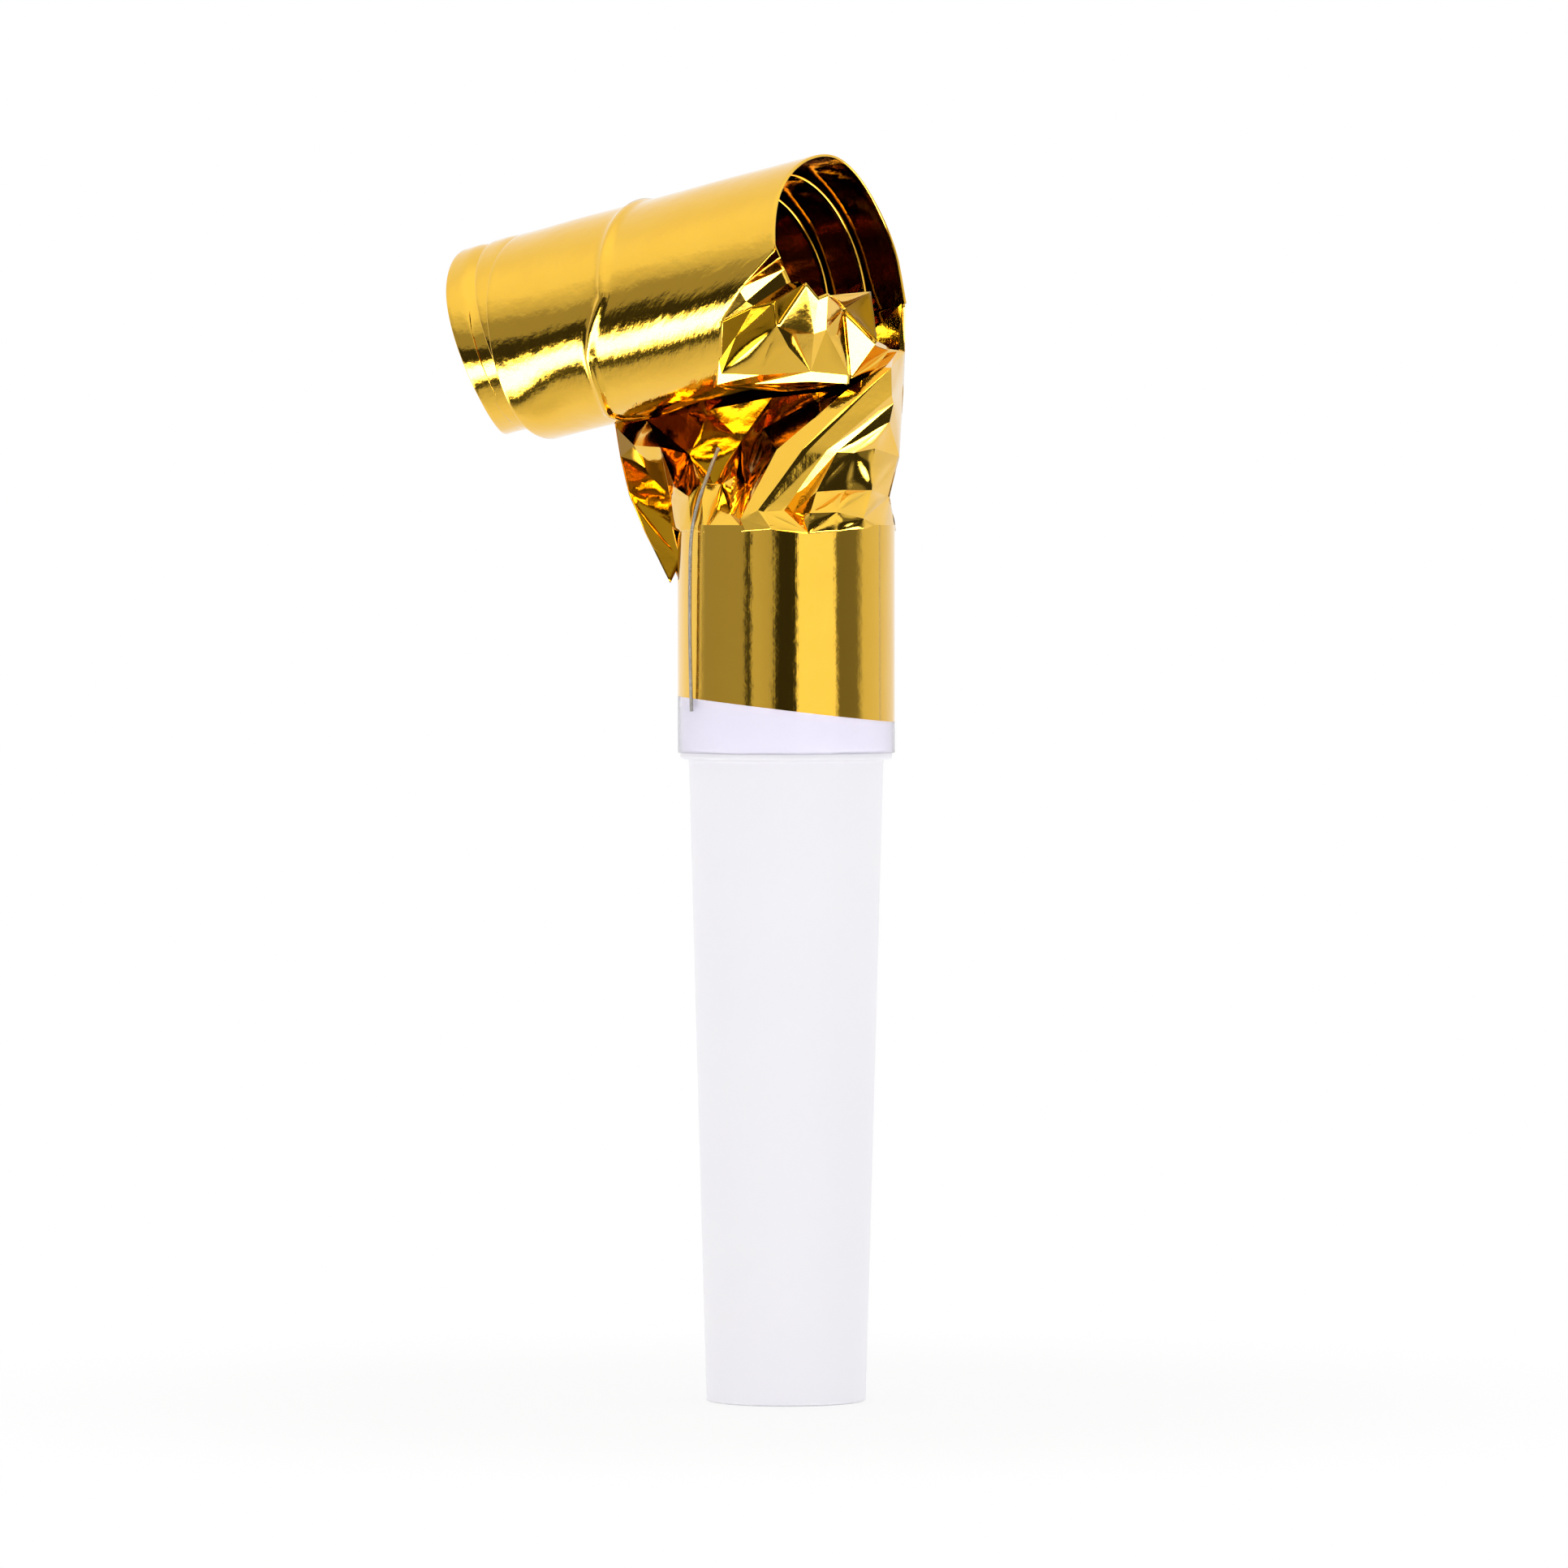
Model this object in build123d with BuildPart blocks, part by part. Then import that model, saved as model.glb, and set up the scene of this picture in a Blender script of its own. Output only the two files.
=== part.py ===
# Party horn blower: a foil tube, curled by a wire, on a moulded mouthpiece with a reed inside.
# Millimetres and degrees. The origin is the centre of the mouth rim, and +Z runs up the mouthpiece.
import os
from math import cos, pi, radians, sin

from build123d import *

# Mouthpiece: a tapered tube under a straight collar
mouth_d = 14.6
shoulder_d = 17.8
shoulder_z = 58.8
tube_wall = 1.0
collar_d = 19.4
collar_h = 21.2
collar_wall = 1.0
ledge_t = 1.2
rim_bevel = 0.25

# Reed insert: a hollow stem under a flange, with a tongue held on its flat by a wedge and a ring
fit = 0.05
flange_t = 2.0
stem_d = 7.0
stem_bore_d = 4.6
stem_len = 18.6
stem_tip = 1.0
flat_offset = 1.8
flat_len = 13.2
tongue_w = 4.4
tongue_t = 0.3
tongue_len = 9.6
tongue_root = 1.0
tongue_gap = 0.1
tongue_lift = 3.5
wedge_len = 3.6
ring_wall = 0.9
ring_h = 2.8

# Foil tube: film glued round the collar, pressed flat above it
film_t = 0.15
glue_t = 0.1
glue_h = 9.0
glue_rise = 9.2
foil_edge_rise = 4.6
foil_edge_slant = 6.8
foil_edge_turn = 30.0
margin_rise = 0.6

# Neck: from the round collar to the flat tube behind the roll, creased on the way
neck_h = 20.9
neck_back = 3.0
neck_skew = -4.95
neck_air = 0.4
neck_levels = 9
neck_sides = 12
neck_sink = 2.2
neck_swell = 1.7
wing_turn = 17.0
wing_share = 0.3
edge_sink = 1.6
fold_count = 2
fold_stand = 4.8
fold_lean = 0.6
fold_share = 0.8

# Roll: eighth-turn links that hinge on their outer face, each arc a little tighter than the last
roll_d = 19.8
roll_tilt = 12.0
link_turn = 45.0
link_count = 20
tail_arcs = 4
turn_drift = 3.5
wrap_gap = 0.25
link_gap = 0.12

# Curl wire: a flat strip along the inner face of the roll, and a round lead down the neck
wire_t = 0.2
wire_w = 0.5
wire_offset = -2.9
lead_spare_levels = 4
lead_d = 0.35
lead_gap = 0.2
lead_bend = 1.0
lead_turn = 239.0
lead_foot_rise = 5.6

# Values that follow from the sizes above
mouth_r = mouth_d / 2
shoulder_r = shoulder_d / 2
collar_r = collar_d / 2
collar_z = shoulder_z + collar_h
collar_bore_r = collar_r - collar_wall
ledge_z = shoulder_z + ledge_t
glue_z = shoulder_z + glue_rise
foil_edge_z = shoulder_z + foil_edge_rise
margin_z = shoulder_z + margin_rise
lead_foot_z = shoulder_z + lead_foot_rise
stem_r = stem_d / 2
stem_z = ledge_z - stem_len
flat_top_z = stem_z + flat_len
wedge_z = flat_top_z - wedge_len
cuff_bore_r = collar_r + glue_t
cuff_r = cuff_bore_r + film_t
strip_t = 2 * film_t
foil_w = pi * (cuff_bore_r + film_t / 2)
roll_r = roll_d / 2
turn_pitch = strip_t + wire_t + wrap_gap
link_step = turn_pitch * link_turn / 360
link_drift = turn_drift * link_turn / 360
roll_axis = Vector(cos(radians(roll_tilt)), 0, sin(radians(roll_tilt)))
roll_up = Vector(-sin(radians(roll_tilt)), 0, cos(radians(roll_tilt)))
base = Vector(neck_skew, neck_back, collar_z + neck_h)
roll_centre = base - Vector(0, roll_r, 0)

os.makedirs("parts", exist_ok=True)


def save(piece, name):
    piece.label = name
    export_step(piece, f"parts/{name}.step")


# Mouthpiece
with BuildPart() as mouthpiece:
    with BuildSketch(Plane.XZ):
        with BuildLine():
            Polyline(
                (mouth_r - tube_wall, 0),
                (mouth_r, 0),
                (shoulder_r, shoulder_z),
                (collar_r, shoulder_z),
                (collar_r, collar_z),
                (collar_bore_r, collar_z),
                (collar_bore_r, ledge_z),
                (shoulder_r - tube_wall, ledge_z),
                close=True,
            )
        make_face()
    revolve(axis=Axis.Z)
    circles = mouthpiece.edges().filter_by(GeomType.CIRCLE).group_by(Axis.Z)
    chamfer(circles[0] + circles[-1], length=rim_bevel)
save(mouthpiece.part, "mouthpiece")

# Reed holder: the flange rests on the ledge, and the stem hangs into the tube with a flat cut on its front
with BuildPart() as reed_holder:
    with Locations((0, 0, ledge_z)):
        Cylinder(collar_bore_r - fit, flange_t, align=(Align.CENTER, Align.CENTER, Align.MIN))
    with Locations((0, 0, stem_z)):
        Cylinder(stem_r, stem_len, align=(Align.CENTER, Align.CENTER, Align.MIN))
    with Locations((0, 0, stem_z + stem_tip)):
        Cylinder(
            stem_bore_d / 2,
            stem_len - stem_tip + flange_t,
            align=(Align.CENTER, Align.CENTER, Align.MIN),
            mode=Mode.SUBTRACT,
        )
    with Locations((0, -flat_offset, stem_z)):
        Box(
            stem_d,
            stem_r,
            flat_len,
            align=(Align.CENTER, Align.MAX, Align.MIN),
            mode=Mode.SUBTRACT,
        )
save(reed_holder.part, "reed_holder")

# Reed tongue: a thin plate that stands off the flat by its lift and turns at the wedge's lower edge
tongue_y = -flat_offset - tongue_gap - tongue_t / 2
tongue_plane = Plane((0, tongue_y, wedge_z), x_dir=(1, 0, 0), z_dir=(0, 1, 0)).rotated((-tongue_lift, 0, 0))
with BuildPart() as reed_tongue:
    with BuildSketch(tongue_plane):
        with Locations((0, (tongue_len - 2 * tongue_root) / 2)):
            RectangleRounded(tongue_w, tongue_len, tongue_w / 4)
    extrude(amount=tongue_t / 2, both=True)
save(reed_tongue.part, "reed_tongue")

# Reed wedge: the segment between the tongue's root and the ring
wedge_y = flat_offset + tongue_gap + tongue_t + tongue_gap
with BuildPart() as reed_wedge:
    with Locations((0, 0, wedge_z)):
        Cylinder(stem_r, wedge_len, align=(Align.CENTER, Align.CENTER, Align.MIN))
    with Locations((0, -wedge_y, wedge_z)):
        Box(
            stem_d,
            stem_d,
            wedge_len,
            align=(Align.CENTER, Align.MIN, Align.MIN),
            mode=Mode.SUBTRACT,
        )
save(reed_wedge.part, "reed_wedge")

# Clip ring: grips the wedge and the stem
with BuildPart() as clip_ring:
    with BuildSketch(Plane.XY.offset(wedge_z + (wedge_len - ring_h) / 2)):
        Circle(stem_r + fit + ring_wall)
        Circle(stem_r + fit, mode=Mode.SUBTRACT)
    extrude(amount=ring_h)
save(clip_ring.part, "clip_ring")

# Glue band under the foil
with BuildPart() as glue_band:
    with BuildSketch(Plane.XY.offset(glue_z)):
        Circle(cuff_bore_r)
        Circle(collar_r, mode=Mode.SUBTRACT)
    extrude(amount=glue_h)
save(glue_band.part, "glue_band")

# Film round the collar: metallised above a slanted edge, and clear below it
lean = radians(foil_edge_slant)
slant_normal = Vector(sin(lean), 0, cos(lean)).rotate(Axis.Z, foil_edge_turn)
slant = Plane((0, 0, foil_edge_z), z_dir=slant_normal)
with BuildPart() as foil_cuff:
    with BuildSketch(Plane.XY.offset(margin_z)):
        Circle(cuff_r)
        Circle(cuff_bore_r, mode=Mode.SUBTRACT)
    extrude(amount=collar_z - margin_z)
    split(bisect_by=slant, keep=Keep.TOP)
save(foil_cuff.part, "foil_cuff")

with BuildPart() as film_margin:
    with BuildSketch(Plane.XY.offset(margin_z)):
        Circle(cuff_r)
        Circle(cuff_bore_r, mode=Mode.SUBTRACT)
    extrude(amount=collar_z - margin_z)
    split(bisect_by=slant, keep=Keep.BOTTOM)
save(film_margin.part, "film_margin")


# Neck: the plane of its section at a share of the way up
def neck_plane(share):
    lean = radians(roll_tilt * share)
    middle = Vector(neck_skew * share, 0, collar_z + (neck_h - link_gap) * share)
    return Plane(middle, x_dir=(cos(lean), 0, sin(lean)), z_dir=(-sin(lean), 0, cos(lean)))


# A corner of the section, from the left edge (across 0) to the right edge (across 1) on its front or back.
# The left edge flares into a wing, the back swells, and the front sinks between its folds
def neck_corner(share, across, front):
    left_turn = pi + radians(wing_turn)
    turn = left_turn + (2 * pi - left_turn) * across if front else left_turn * (1 - across)
    flat_x = foil_w * (across - 0.5)
    flat_y = neck_back + (neck_air - strip_t) / 2
    if 0 < across < 1:
        flat_y += (strip_t + neck_air) / 2 * (-1 if front else 1)
    wing = min(share / wing_share, 1) ** 0.5
    spread = wing + (share - wing) * across
    press = 1 - (1 - share) ** neck_sink if front else share**neck_swell
    edge_press = 1 - (1 - share) ** edge_sink
    press = edge_press + (press - edge_press) * sin(pi * across)
    fold = sin(pi * min(share / fold_share, 1)) ** 2 * sin(fold_count * pi * across) ** 2 if front else 0
    fold *= fold_stand * (1 + fold_lean * (across - 0.5))
    x = cuff_r * cos(turn) + (flat_x - cuff_r * cos(turn)) * spread
    y = cuff_r * sin(turn) + (flat_y - cuff_r * sin(turn)) * press - fold
    return Vector(x, y)


def neck_ring(share, inset):
    back = [neck_corner(share, 1 - side / neck_sides, False) for side in range(neck_sides)]
    front = [neck_corner(share, side / neck_sides, True) for side in range(neck_sides)]
    outline = back + front
    ring = []
    for before, corner, after in zip(outline[-1:] + outline, outline, outline[1:] + outline[:1]):
        sides = ((corner - before).normalized(), (after - corner).normalized())
        inward = [side.rotate(Axis.Z, 90) for side in sides]
        corner += (inward[0] + inward[1]) * (inset / (1 + inward[0].dot(inward[1])))
        ring.append(neck_plane(share).from_local_coords(corner))
    return ring


def facet(*corners):
    return Face(Wire.make_polygon(corners))


def crease_band(low, high):
    facets = []
    for side in range(len(low)):
        ahead = (side + 1) % len(low)
        facets += [facet(low[side], low[ahead], high[ahead]), facet(low[side], high[ahead], high[side])]
    return facets


shares = [level / (neck_levels - 1) for level in range(neck_levels)]
outer = [neck_ring(share, 0) for share in shares]
inner = [neck_ring(share, film_t) for share in shares]
creases = crease_band(outer[0], inner[0]) + crease_band(outer[-1], inner[-1])
for level in range(neck_levels - 1):
    creases += crease_band(outer[level], outer[level + 1]) + crease_band(inner[level], inner[level + 1])
neck_film = Solid(Shell(creases))
with BuildPart() as foil_neck:
    add(neck_film)
save(foil_neck.part, "foil_neck")


# Roll: arc k has its own centre and radius, and meets its neighbours smoothly on the outer face
def roll_arc(k):
    centre = roll_centre
    for j in range(1, k + 1):
        turn = radians(j * link_turn)
        centre += (Vector(0, cos(turn), 0) + roll_up * sin(turn)) * link_step
    return centre, roll_r - k * link_step


def arc_band(k, depth, thick, start_trim, end_trim):
    radius = roll_arc(k)[1] - depth
    start = k * link_turn + start_trim * 180 / (pi * radius)
    span = link_turn - (start_trim + end_trim) * 180 / (pi * radius)
    outer = CenterArc((0, 0), radius, start, span)
    inner = CenterArc((0, 0), radius - thick, start, span)
    Line(outer @ 0, inner @ 0)
    Line(outer @ 1, inner @ 1)


def roll_plane(k, axial):
    return Plane(roll_arc(k)[0] + roll_axis * axial, x_dir=(0, 1, 0), z_dir=roll_axis)


half_gap = link_gap / 2
for k in range(link_count):
    middle = -k * link_drift
    with BuildPart() as foil_link:
        with BuildSketch(roll_plane(k, middle - foil_w / 2)):
            with BuildLine():
                arc_band(k, 0, strip_t, half_gap, half_gap)
            make_face()
        extrude(amount=foil_w)
    save(foil_link.part, f"foil_link_{k + 1:02d}")
    with BuildPart() as wire_link:
        with BuildSketch(roll_plane(k, middle + wire_offset - wire_w / 2)):
            with BuildLine():
                arc_band(k, strip_t, wire_t, half_gap, half_gap)
            make_face()
        extrude(amount=wire_w)
    save(wire_link.part, f"wire_link_{k + 1:02d}")

# Tail: the last half turn, whose end is folded over and glued shut
tail_middle = -link_count * link_drift
last_arc = link_count + tail_arcs - 1
with BuildPart() as foil_tail:
    for k in range(link_count, link_count + tail_arcs):
        with BuildSketch(roll_plane(k, tail_middle - foil_w / 2)):
            with BuildLine():
                arc_band(k, 0, strip_t, half_gap if k == link_count else 0, 0)
            make_face()
        extrude(amount=foil_w)
save(foil_tail.part, "foil_tail")

with BuildPart() as wire_tail:
    for k in range(link_count, last_arc):
        with BuildSketch(roll_plane(k, tail_middle + wire_offset - wire_w / 2)):
            with BuildLine():
                arc_band(k, strip_t, wire_t, half_gap if k == link_count else 0, 0)
            make_face()
        extrude(amount=wire_w)
save(wire_tail.part, "wire_tail")

with BuildPart() as end_fold:
    with BuildSketch(roll_plane(last_arc, tail_middle - foil_w / 2)):
        with BuildLine():
            arc_band(last_arc, strip_t, strip_t, half_gap, 0)
        make_face()
    extrude(amount=foil_w)
save(end_fold.part, "end_fold")


# Wire lead: up the front of the cuff and over the sunk front of the neck, to under the roll
lead_r = cuff_r + lead_gap + lead_d / 2
lead_x = lead_r * cos(radians(lead_turn))
lead_y = lead_r * sin(radians(lead_turn))


def lead_on_neck(share):
    x = lead_x + (wire_offset - lead_x) * share
    front = [neck_corner(share, side / neck_sides, True) for side in range(neck_sides + 1)]
    left, right = next(pair for pair in zip(front, front[1:]) if pair[1].X > x)
    y = left.Y + (right.Y - left.Y) * (x - left.X) / (right.X - left.X)
    return neck_plane(share).from_local_coords(Vector(x, y - lead_gap - lead_d / 2))


with BuildPart() as wire_lead:
    with BuildLine() as lead_path:
        FilletPolyline(
            (lead_x, lead_y, lead_foot_z),
            (lead_x, lead_y, collar_z),
            *[lead_on_neck(share) for share in shares[1:-lead_spare_levels]],
            radius=lead_bend,
        )
    with BuildSketch(Plane(lead_path.line @ 0, z_dir=lead_path.line % 0)):
        Circle(lead_d / 2)
    sweep()
save(wire_lead.part, "wire_lead")
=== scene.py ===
import math

import bmesh
import bpy
import numpy as np
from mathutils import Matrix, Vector, noise


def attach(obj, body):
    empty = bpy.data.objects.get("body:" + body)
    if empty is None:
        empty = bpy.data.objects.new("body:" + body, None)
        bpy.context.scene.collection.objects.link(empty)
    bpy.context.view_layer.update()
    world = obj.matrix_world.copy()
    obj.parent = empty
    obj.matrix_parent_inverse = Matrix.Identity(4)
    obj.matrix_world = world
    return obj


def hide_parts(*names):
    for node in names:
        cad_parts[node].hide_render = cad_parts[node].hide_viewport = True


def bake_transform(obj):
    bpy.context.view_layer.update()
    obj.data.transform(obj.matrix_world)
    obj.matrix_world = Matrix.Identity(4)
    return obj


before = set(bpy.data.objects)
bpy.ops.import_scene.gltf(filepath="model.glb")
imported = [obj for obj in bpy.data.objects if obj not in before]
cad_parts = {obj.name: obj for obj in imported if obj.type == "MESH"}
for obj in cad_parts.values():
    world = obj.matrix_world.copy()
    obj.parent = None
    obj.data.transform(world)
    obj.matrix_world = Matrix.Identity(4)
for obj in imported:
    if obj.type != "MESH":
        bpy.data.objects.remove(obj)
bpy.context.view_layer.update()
mm = 0.001
print("frame loaded:", len(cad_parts), "nodes")


def linear(code):  # sRGB hex to linear colour
    parts = [int(code[i : i + 2], 16) / 255 for i in (1, 3, 5)]
    return [p / 12.92 if p <= 0.04045 else ((p + 0.055) / 1.055) ** 2.4 for p in parts] + [1.0]


def addNode(tree, kind, feeds=None, **settings):
    node = tree.nodes.new(kind)
    for name, value in settings.items():
        setattr(node, name, value)
    for key, source in (feeds or {}).items():
        if isinstance(source, bpy.types.Node):
            source = source.outputs[0]
        if isinstance(source, bpy.types.NodeSocket):
            tree.links.new(source, node.inputs[key])
        else:
            node.inputs[key].default_value = source
    return node


def newMaterial(name):
    material = bpy.data.materials.new(name)
    material.use_nodes = True
    tree = material.node_tree
    tree.nodes.clear()
    shader = addNode(tree, "ShaderNodeBsdfPrincipled")
    addNode(tree, "ShaderNodeOutputMaterial", {"Surface": shader})
    return material, tree, shader


# The photograph's viewpoint: nearly square on, a little above the roll's middle
viewpoint = {
    "turn": 30,
    "distance": 1000,  # mm, as are the next four
    "height": 81.5,
    "across": -0.2,
    "aim": 56.5,
    "frame": 143.5,
    "pixels": 1932,
    "sensor": 36,
    "clip": (0.05, 20),
}
turn = math.radians(viewpoint["turn"])
toRight = Vector((math.cos(turn), math.sin(turn), 0))
toBack = Vector((-math.sin(turn), math.cos(turn), 0))
stepBack = toBack * viewpoint["distance"]
eye = (toRight * viewpoint["across"] - stepBack + Vector((0, 0, viewpoint["height"]))) * mm
aim = (toRight * viewpoint["across"] + Vector((0, 0, viewpoint["aim"]))) * mm
camera = bpy.data.objects.new("photoCamera", bpy.data.cameras.new("photoCamera"))
bpy.context.scene.collection.objects.link(camera)
camera.location = eye
camera.rotation_mode = "QUATERNION"
camera.rotation_quaternion = (aim - eye).to_track_quat("-Z", "Y")
camera.data.sensor_width = viewpoint["sensor"]
camera.data.lens = viewpoint["sensor"] * (aim - eye).length / (viewpoint["frame"] * mm)
camera.data.clip_start, camera.data.clip_end = viewpoint["clip"]
bpy.context.scene.camera = camera
sightAhead = (aim - eye).normalized()
sightUp = toRight.cross(sightAhead)


def spot(across, down, depth):  # a place by its photo pixel and its depth in mm behind the mouthpiece's axis
    size = viewpoint["frame"] * mm / viewpoint["pixels"] / (aim - eye).length
    middle = viewpoint["pixels"] / 2
    ray = sightAhead + toRight * ((across - middle) * size) + sightUp * ((middle - down) * size)
    reach = (depth + viewpoint["distance"]) * mm / ray.dot(toBack)
    return eye + ray * reach


print("camera set")

# Metallised polyester film: aluminium under gold lacquer, rolled and handled, so it mirrors softly,
# with fine rub marks along the strip and a clear lacquer sheen at grazing angles
filmLook = {
    "gold": ("#F5C440", "#EFBA38"),
    # painted shade: darker brown tones for the film inside the wraps and in the folds' hollows
    "inside": ("#A67A14", "#86600C"),
    "roughness": 0.07,
    "rub": 0.05,
    "coat": 0.4,
    "coatRough": 0.06,
    "lineSpacing": 0.16,  # mm, as are the next five
    "lineLength": 20,
    "lineDepth": 0.02,
    "dimple": 1.25,
    "dimpleDepth": 0.04,
    "cloud": 4.545,
    "lineRange": (0.35, 0.7),
    "lineBump": 0.25,
}


def goldFilm(name, rubAmount, tones, coat):
    material, tree, shader = newMaterial(name)
    shader.inputs["Metallic"].default_value = 1.0
    shader.inputs["Coat Weight"].default_value = coat
    shader.inputs["Coat Roughness"].default_value = filmLook["coatRough"]
    filmMap = addNode(tree, "ShaderNodeUVMap", uv_map="film")
    # rub lines run along the strip, a sixth of a millimetre apart, drawn long and thin
    lineScale = (1 / filmLook["lineSpacing"], 1 / filmLook["lineLength"], 1)
    stretched = addNode(tree, "ShaderNodeMapping", {"Vector": filmMap, "Scale": lineScale})
    lines = addNode(tree, "ShaderNodeTexNoise", {"Vector": stretched, "Scale": 1.0, "Detail": 3.0})
    low, high = filmLook["lineRange"]
    rubbed = filmLook["roughness"] + filmLook["rub"] * rubAmount
    rubRange = {0: lines, 1: low, 2: high, 3: filmLook["roughness"], 4: rubbed}
    rough = addNode(tree, "ShaderNodeMapRange", rubRange)
    cloudSize = {"Scale": 1 / filmLook["cloud"], "Detail": 4.0}
    clouds = addNode(tree, "ShaderNodeTexNoise", cloudSize | {"Vector": filmMap})
    mixed = {0: clouds, 6: linear(tones[0]), 7: linear(tones[1])}
    tone = addNode(tree, "ShaderNodeMix", mixed, data_type="RGBA")
    lineSize = {"Strength": filmLook["lineBump"] * rubAmount, "Distance": filmLook["lineDepth"] * mm}
    dents = addNode(tree, "ShaderNodeBump", lineSize | {"Height": lines})
    # handling leaves shallow dimples a millimetre or two across, which fray what the film mirrors
    dimpleSize = {"Scale": 1 / filmLook["dimple"], "Detail": 3.0}
    dimples = addNode(tree, "ShaderNodeTexNoise", dimpleSize | {"Vector": filmMap})
    dimpleDepth = {"Strength": rubAmount, "Distance": filmLook["dimpleDepth"] * mm}
    handled = addNode(tree, "ShaderNodeBump", dimpleDepth | {"Height": dimples, "Normal": dents})
    results = {"Base Color": tone.outputs[2], "Roughness": rough.outputs[0], "Normal": handled.outputs[0]}
    for socket, source in results.items():
        tree.links.new(source, shader.inputs[socket])
    return material


rollGold = goldFilm("metallisedFilmRolled", 1.0, filmLook["gold"], filmLook["coat"])
foldGold = goldFilm("metallisedFilmCreased", 0.6, filmLook["gold"], filmLook["coat"])
# painted shade: the film's face inside the wraps and in the folds' hollows, drawn in darker brown tones and
# without a coat
paintedShadeGold = goldFilm("metallisedFilmPaintedShade", 0.8, filmLook["inside"], 0.0)

# The other finishes. "grain" is the size in mm of the specks that mix "tones" and vary "rough"
finishes = {
    # Polypropylene, moulded and unpigmented: milky, lets soft light through, shows what is inside as a blur
    "milkyPolypropylene": {
        "tones": ("#FDFCFF", "#F9F8FF"),
        "grain": 11.11,
        "detail": 2.0,
        "skin": {"Strength": 0.05, "Distance": 0.05 * mm},
        "sockets": {"Roughness": 0.42, "IOR": 1.49, "Transmission Weight": 0.08, "Specular IOR Level": 0.25},
    },
    # Polyester film without its metal: clear and glossy, with small dull rubs
    "clearPolyesterFilm": {
        "rough": (0.08, 0.2),
        "grain": 0.5,
        "detail": 3.0,
        "map": "film",
        "sockets": {"Base Color": linear("#EFEDF3"), "Transmission Weight": 0.9, "IOR": 1.2},
    },
    # Galvanised spring wire: drawn steel, grey, with a dull zinc bloom
    "galvanisedSpringWire": {
        "tones": ("#7E7B76", "#A5A29C"),
        "rough": (0.35, 0.6),
        "grain": 0.5556,
        "detail": 3.0,
        "sockets": {"Metallic": 0.85},
    },
    # Polystyrene, moulded white: an even, slightly glossy reed insert
    "whitePolystyrene": {
        "tones": ("#F7F7F9", "#ECECF1"),
        "grain": 1.429,
        "detail": 2.0,
        "sockets": {"Roughness": 0.35},
    },
    # Polyester, cut thin for the reed's tongue: frosted, half clear
    "frostedPolyesterTongue": {
        "rough": (0.3, 0.5),
        "grain": 0.4,
        "detail": 2.0,
        "sockets": {"Base Color": linear("#E9EAF2"), "Transmission Weight": 0.5},
    },
    # Dried rubber glue: pale amber, lumpy under the film
    "driedRubberGlue": {
        "tones": ("#E8DFC6", "#D8C9A2"),
        "grain": 1.667,
        "detail": 3.0,
        "sockets": {"Roughness": 0.4},
    },
}
finished = {}
for name, look in finishes.items():
    finished[name], tree, shader = newMaterial(name)
    if "map" in look:  # the film's own map is in mm
        place, unit = addNode(tree, "ShaderNodeUVMap", uv_map=look["map"]).outputs[0], 1
    else:
        place, unit = addNode(tree, "ShaderNodeTexCoord").outputs["Object"], mm
    specks = {"Vector": place, "Scale": 1 / (look["grain"] * unit), "Detail": look["detail"]}
    grain = addNode(tree, "ShaderNodeTexNoise", specks)
    if "tones" in look:
        mixed = {0: grain, 6: linear(look["tones"][0]), 7: linear(look["tones"][1])}
        tone = addNode(tree, "ShaderNodeMix", mixed, data_type="RGBA")
        tree.links.new(tone.outputs[2], shader.inputs["Base Color"])
    if "rough" in look:
        rough = addNode(tree, "ShaderNodeMapRange", {0: grain, 3: look["rough"][0], 4: look["rough"][1]})
        tree.links.new(rough.outputs[0], shader.inputs["Roughness"])
    if "skin" in look:  # the mould's own faint unevenness
        skin = addNode(tree, "ShaderNodeBump", look["skin"] | {"Height": grain})
        tree.links.new(skin.outputs[0], shader.inputs["Normal"])
    for socket, value in look["sockets"].items():
        shader.inputs[socket].default_value = value
milky, clearFilm, wireSteel, reedWhite, reedFilm, driedGlue = finished.values()
print("materials made")


def toObject(name, mesh, material):
    obj = bpy.data.objects.new(name, mesh)
    bpy.context.scene.collection.objects.link(obj)
    obj.data.materials.clear()
    obj.data.materials.append(material)
    return obj


def newTree(name, sizes):
    tree = bpy.data.node_groups.new(name, "GeometryNodeTree")
    tree.interface.new_socket("Geometry", in_out="INPUT", socket_type="NodeSocketGeometry")
    for label in sizes:
        tree.interface.new_socket(label, in_out="INPUT", socket_type="NodeSocketFloat")
    tree.interface.new_socket("Material", in_out="INPUT", socket_type="NodeSocketMaterial")
    tree.interface.new_socket("Geometry", in_out="OUTPUT", socket_type="NodeSocketGeometry")
    return tree, addNode(tree, "NodeGroupInput").outputs


def endTree(tree, geometry, material):
    whole = addNode(tree, "GeometryNodeRealizeInstances", {0: geometry})
    coated = addNode(tree, "GeometryNodeSetMaterial", {"Geometry": whole, "Material": material})
    addNode(tree, "NodeGroupOutput", {0: coated})


def runTree(obj, tree, values):  # the tree's result as a plain mesh
    modifier = obj.modifiers.new(tree.name, "NODES")
    modifier.node_group = tree
    for item in tree.interface.items_tree:
        if item.in_out == "INPUT" and item.name in values:
            modifier[item.identifier] = values[item.name]
    mesh = bpy.data.meshes.new_from_object(obj.evaluated_get(bpy.context.evaluated_depsgraph_get()))
    obj.modifiers.remove(modifier)
    return mesh


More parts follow.
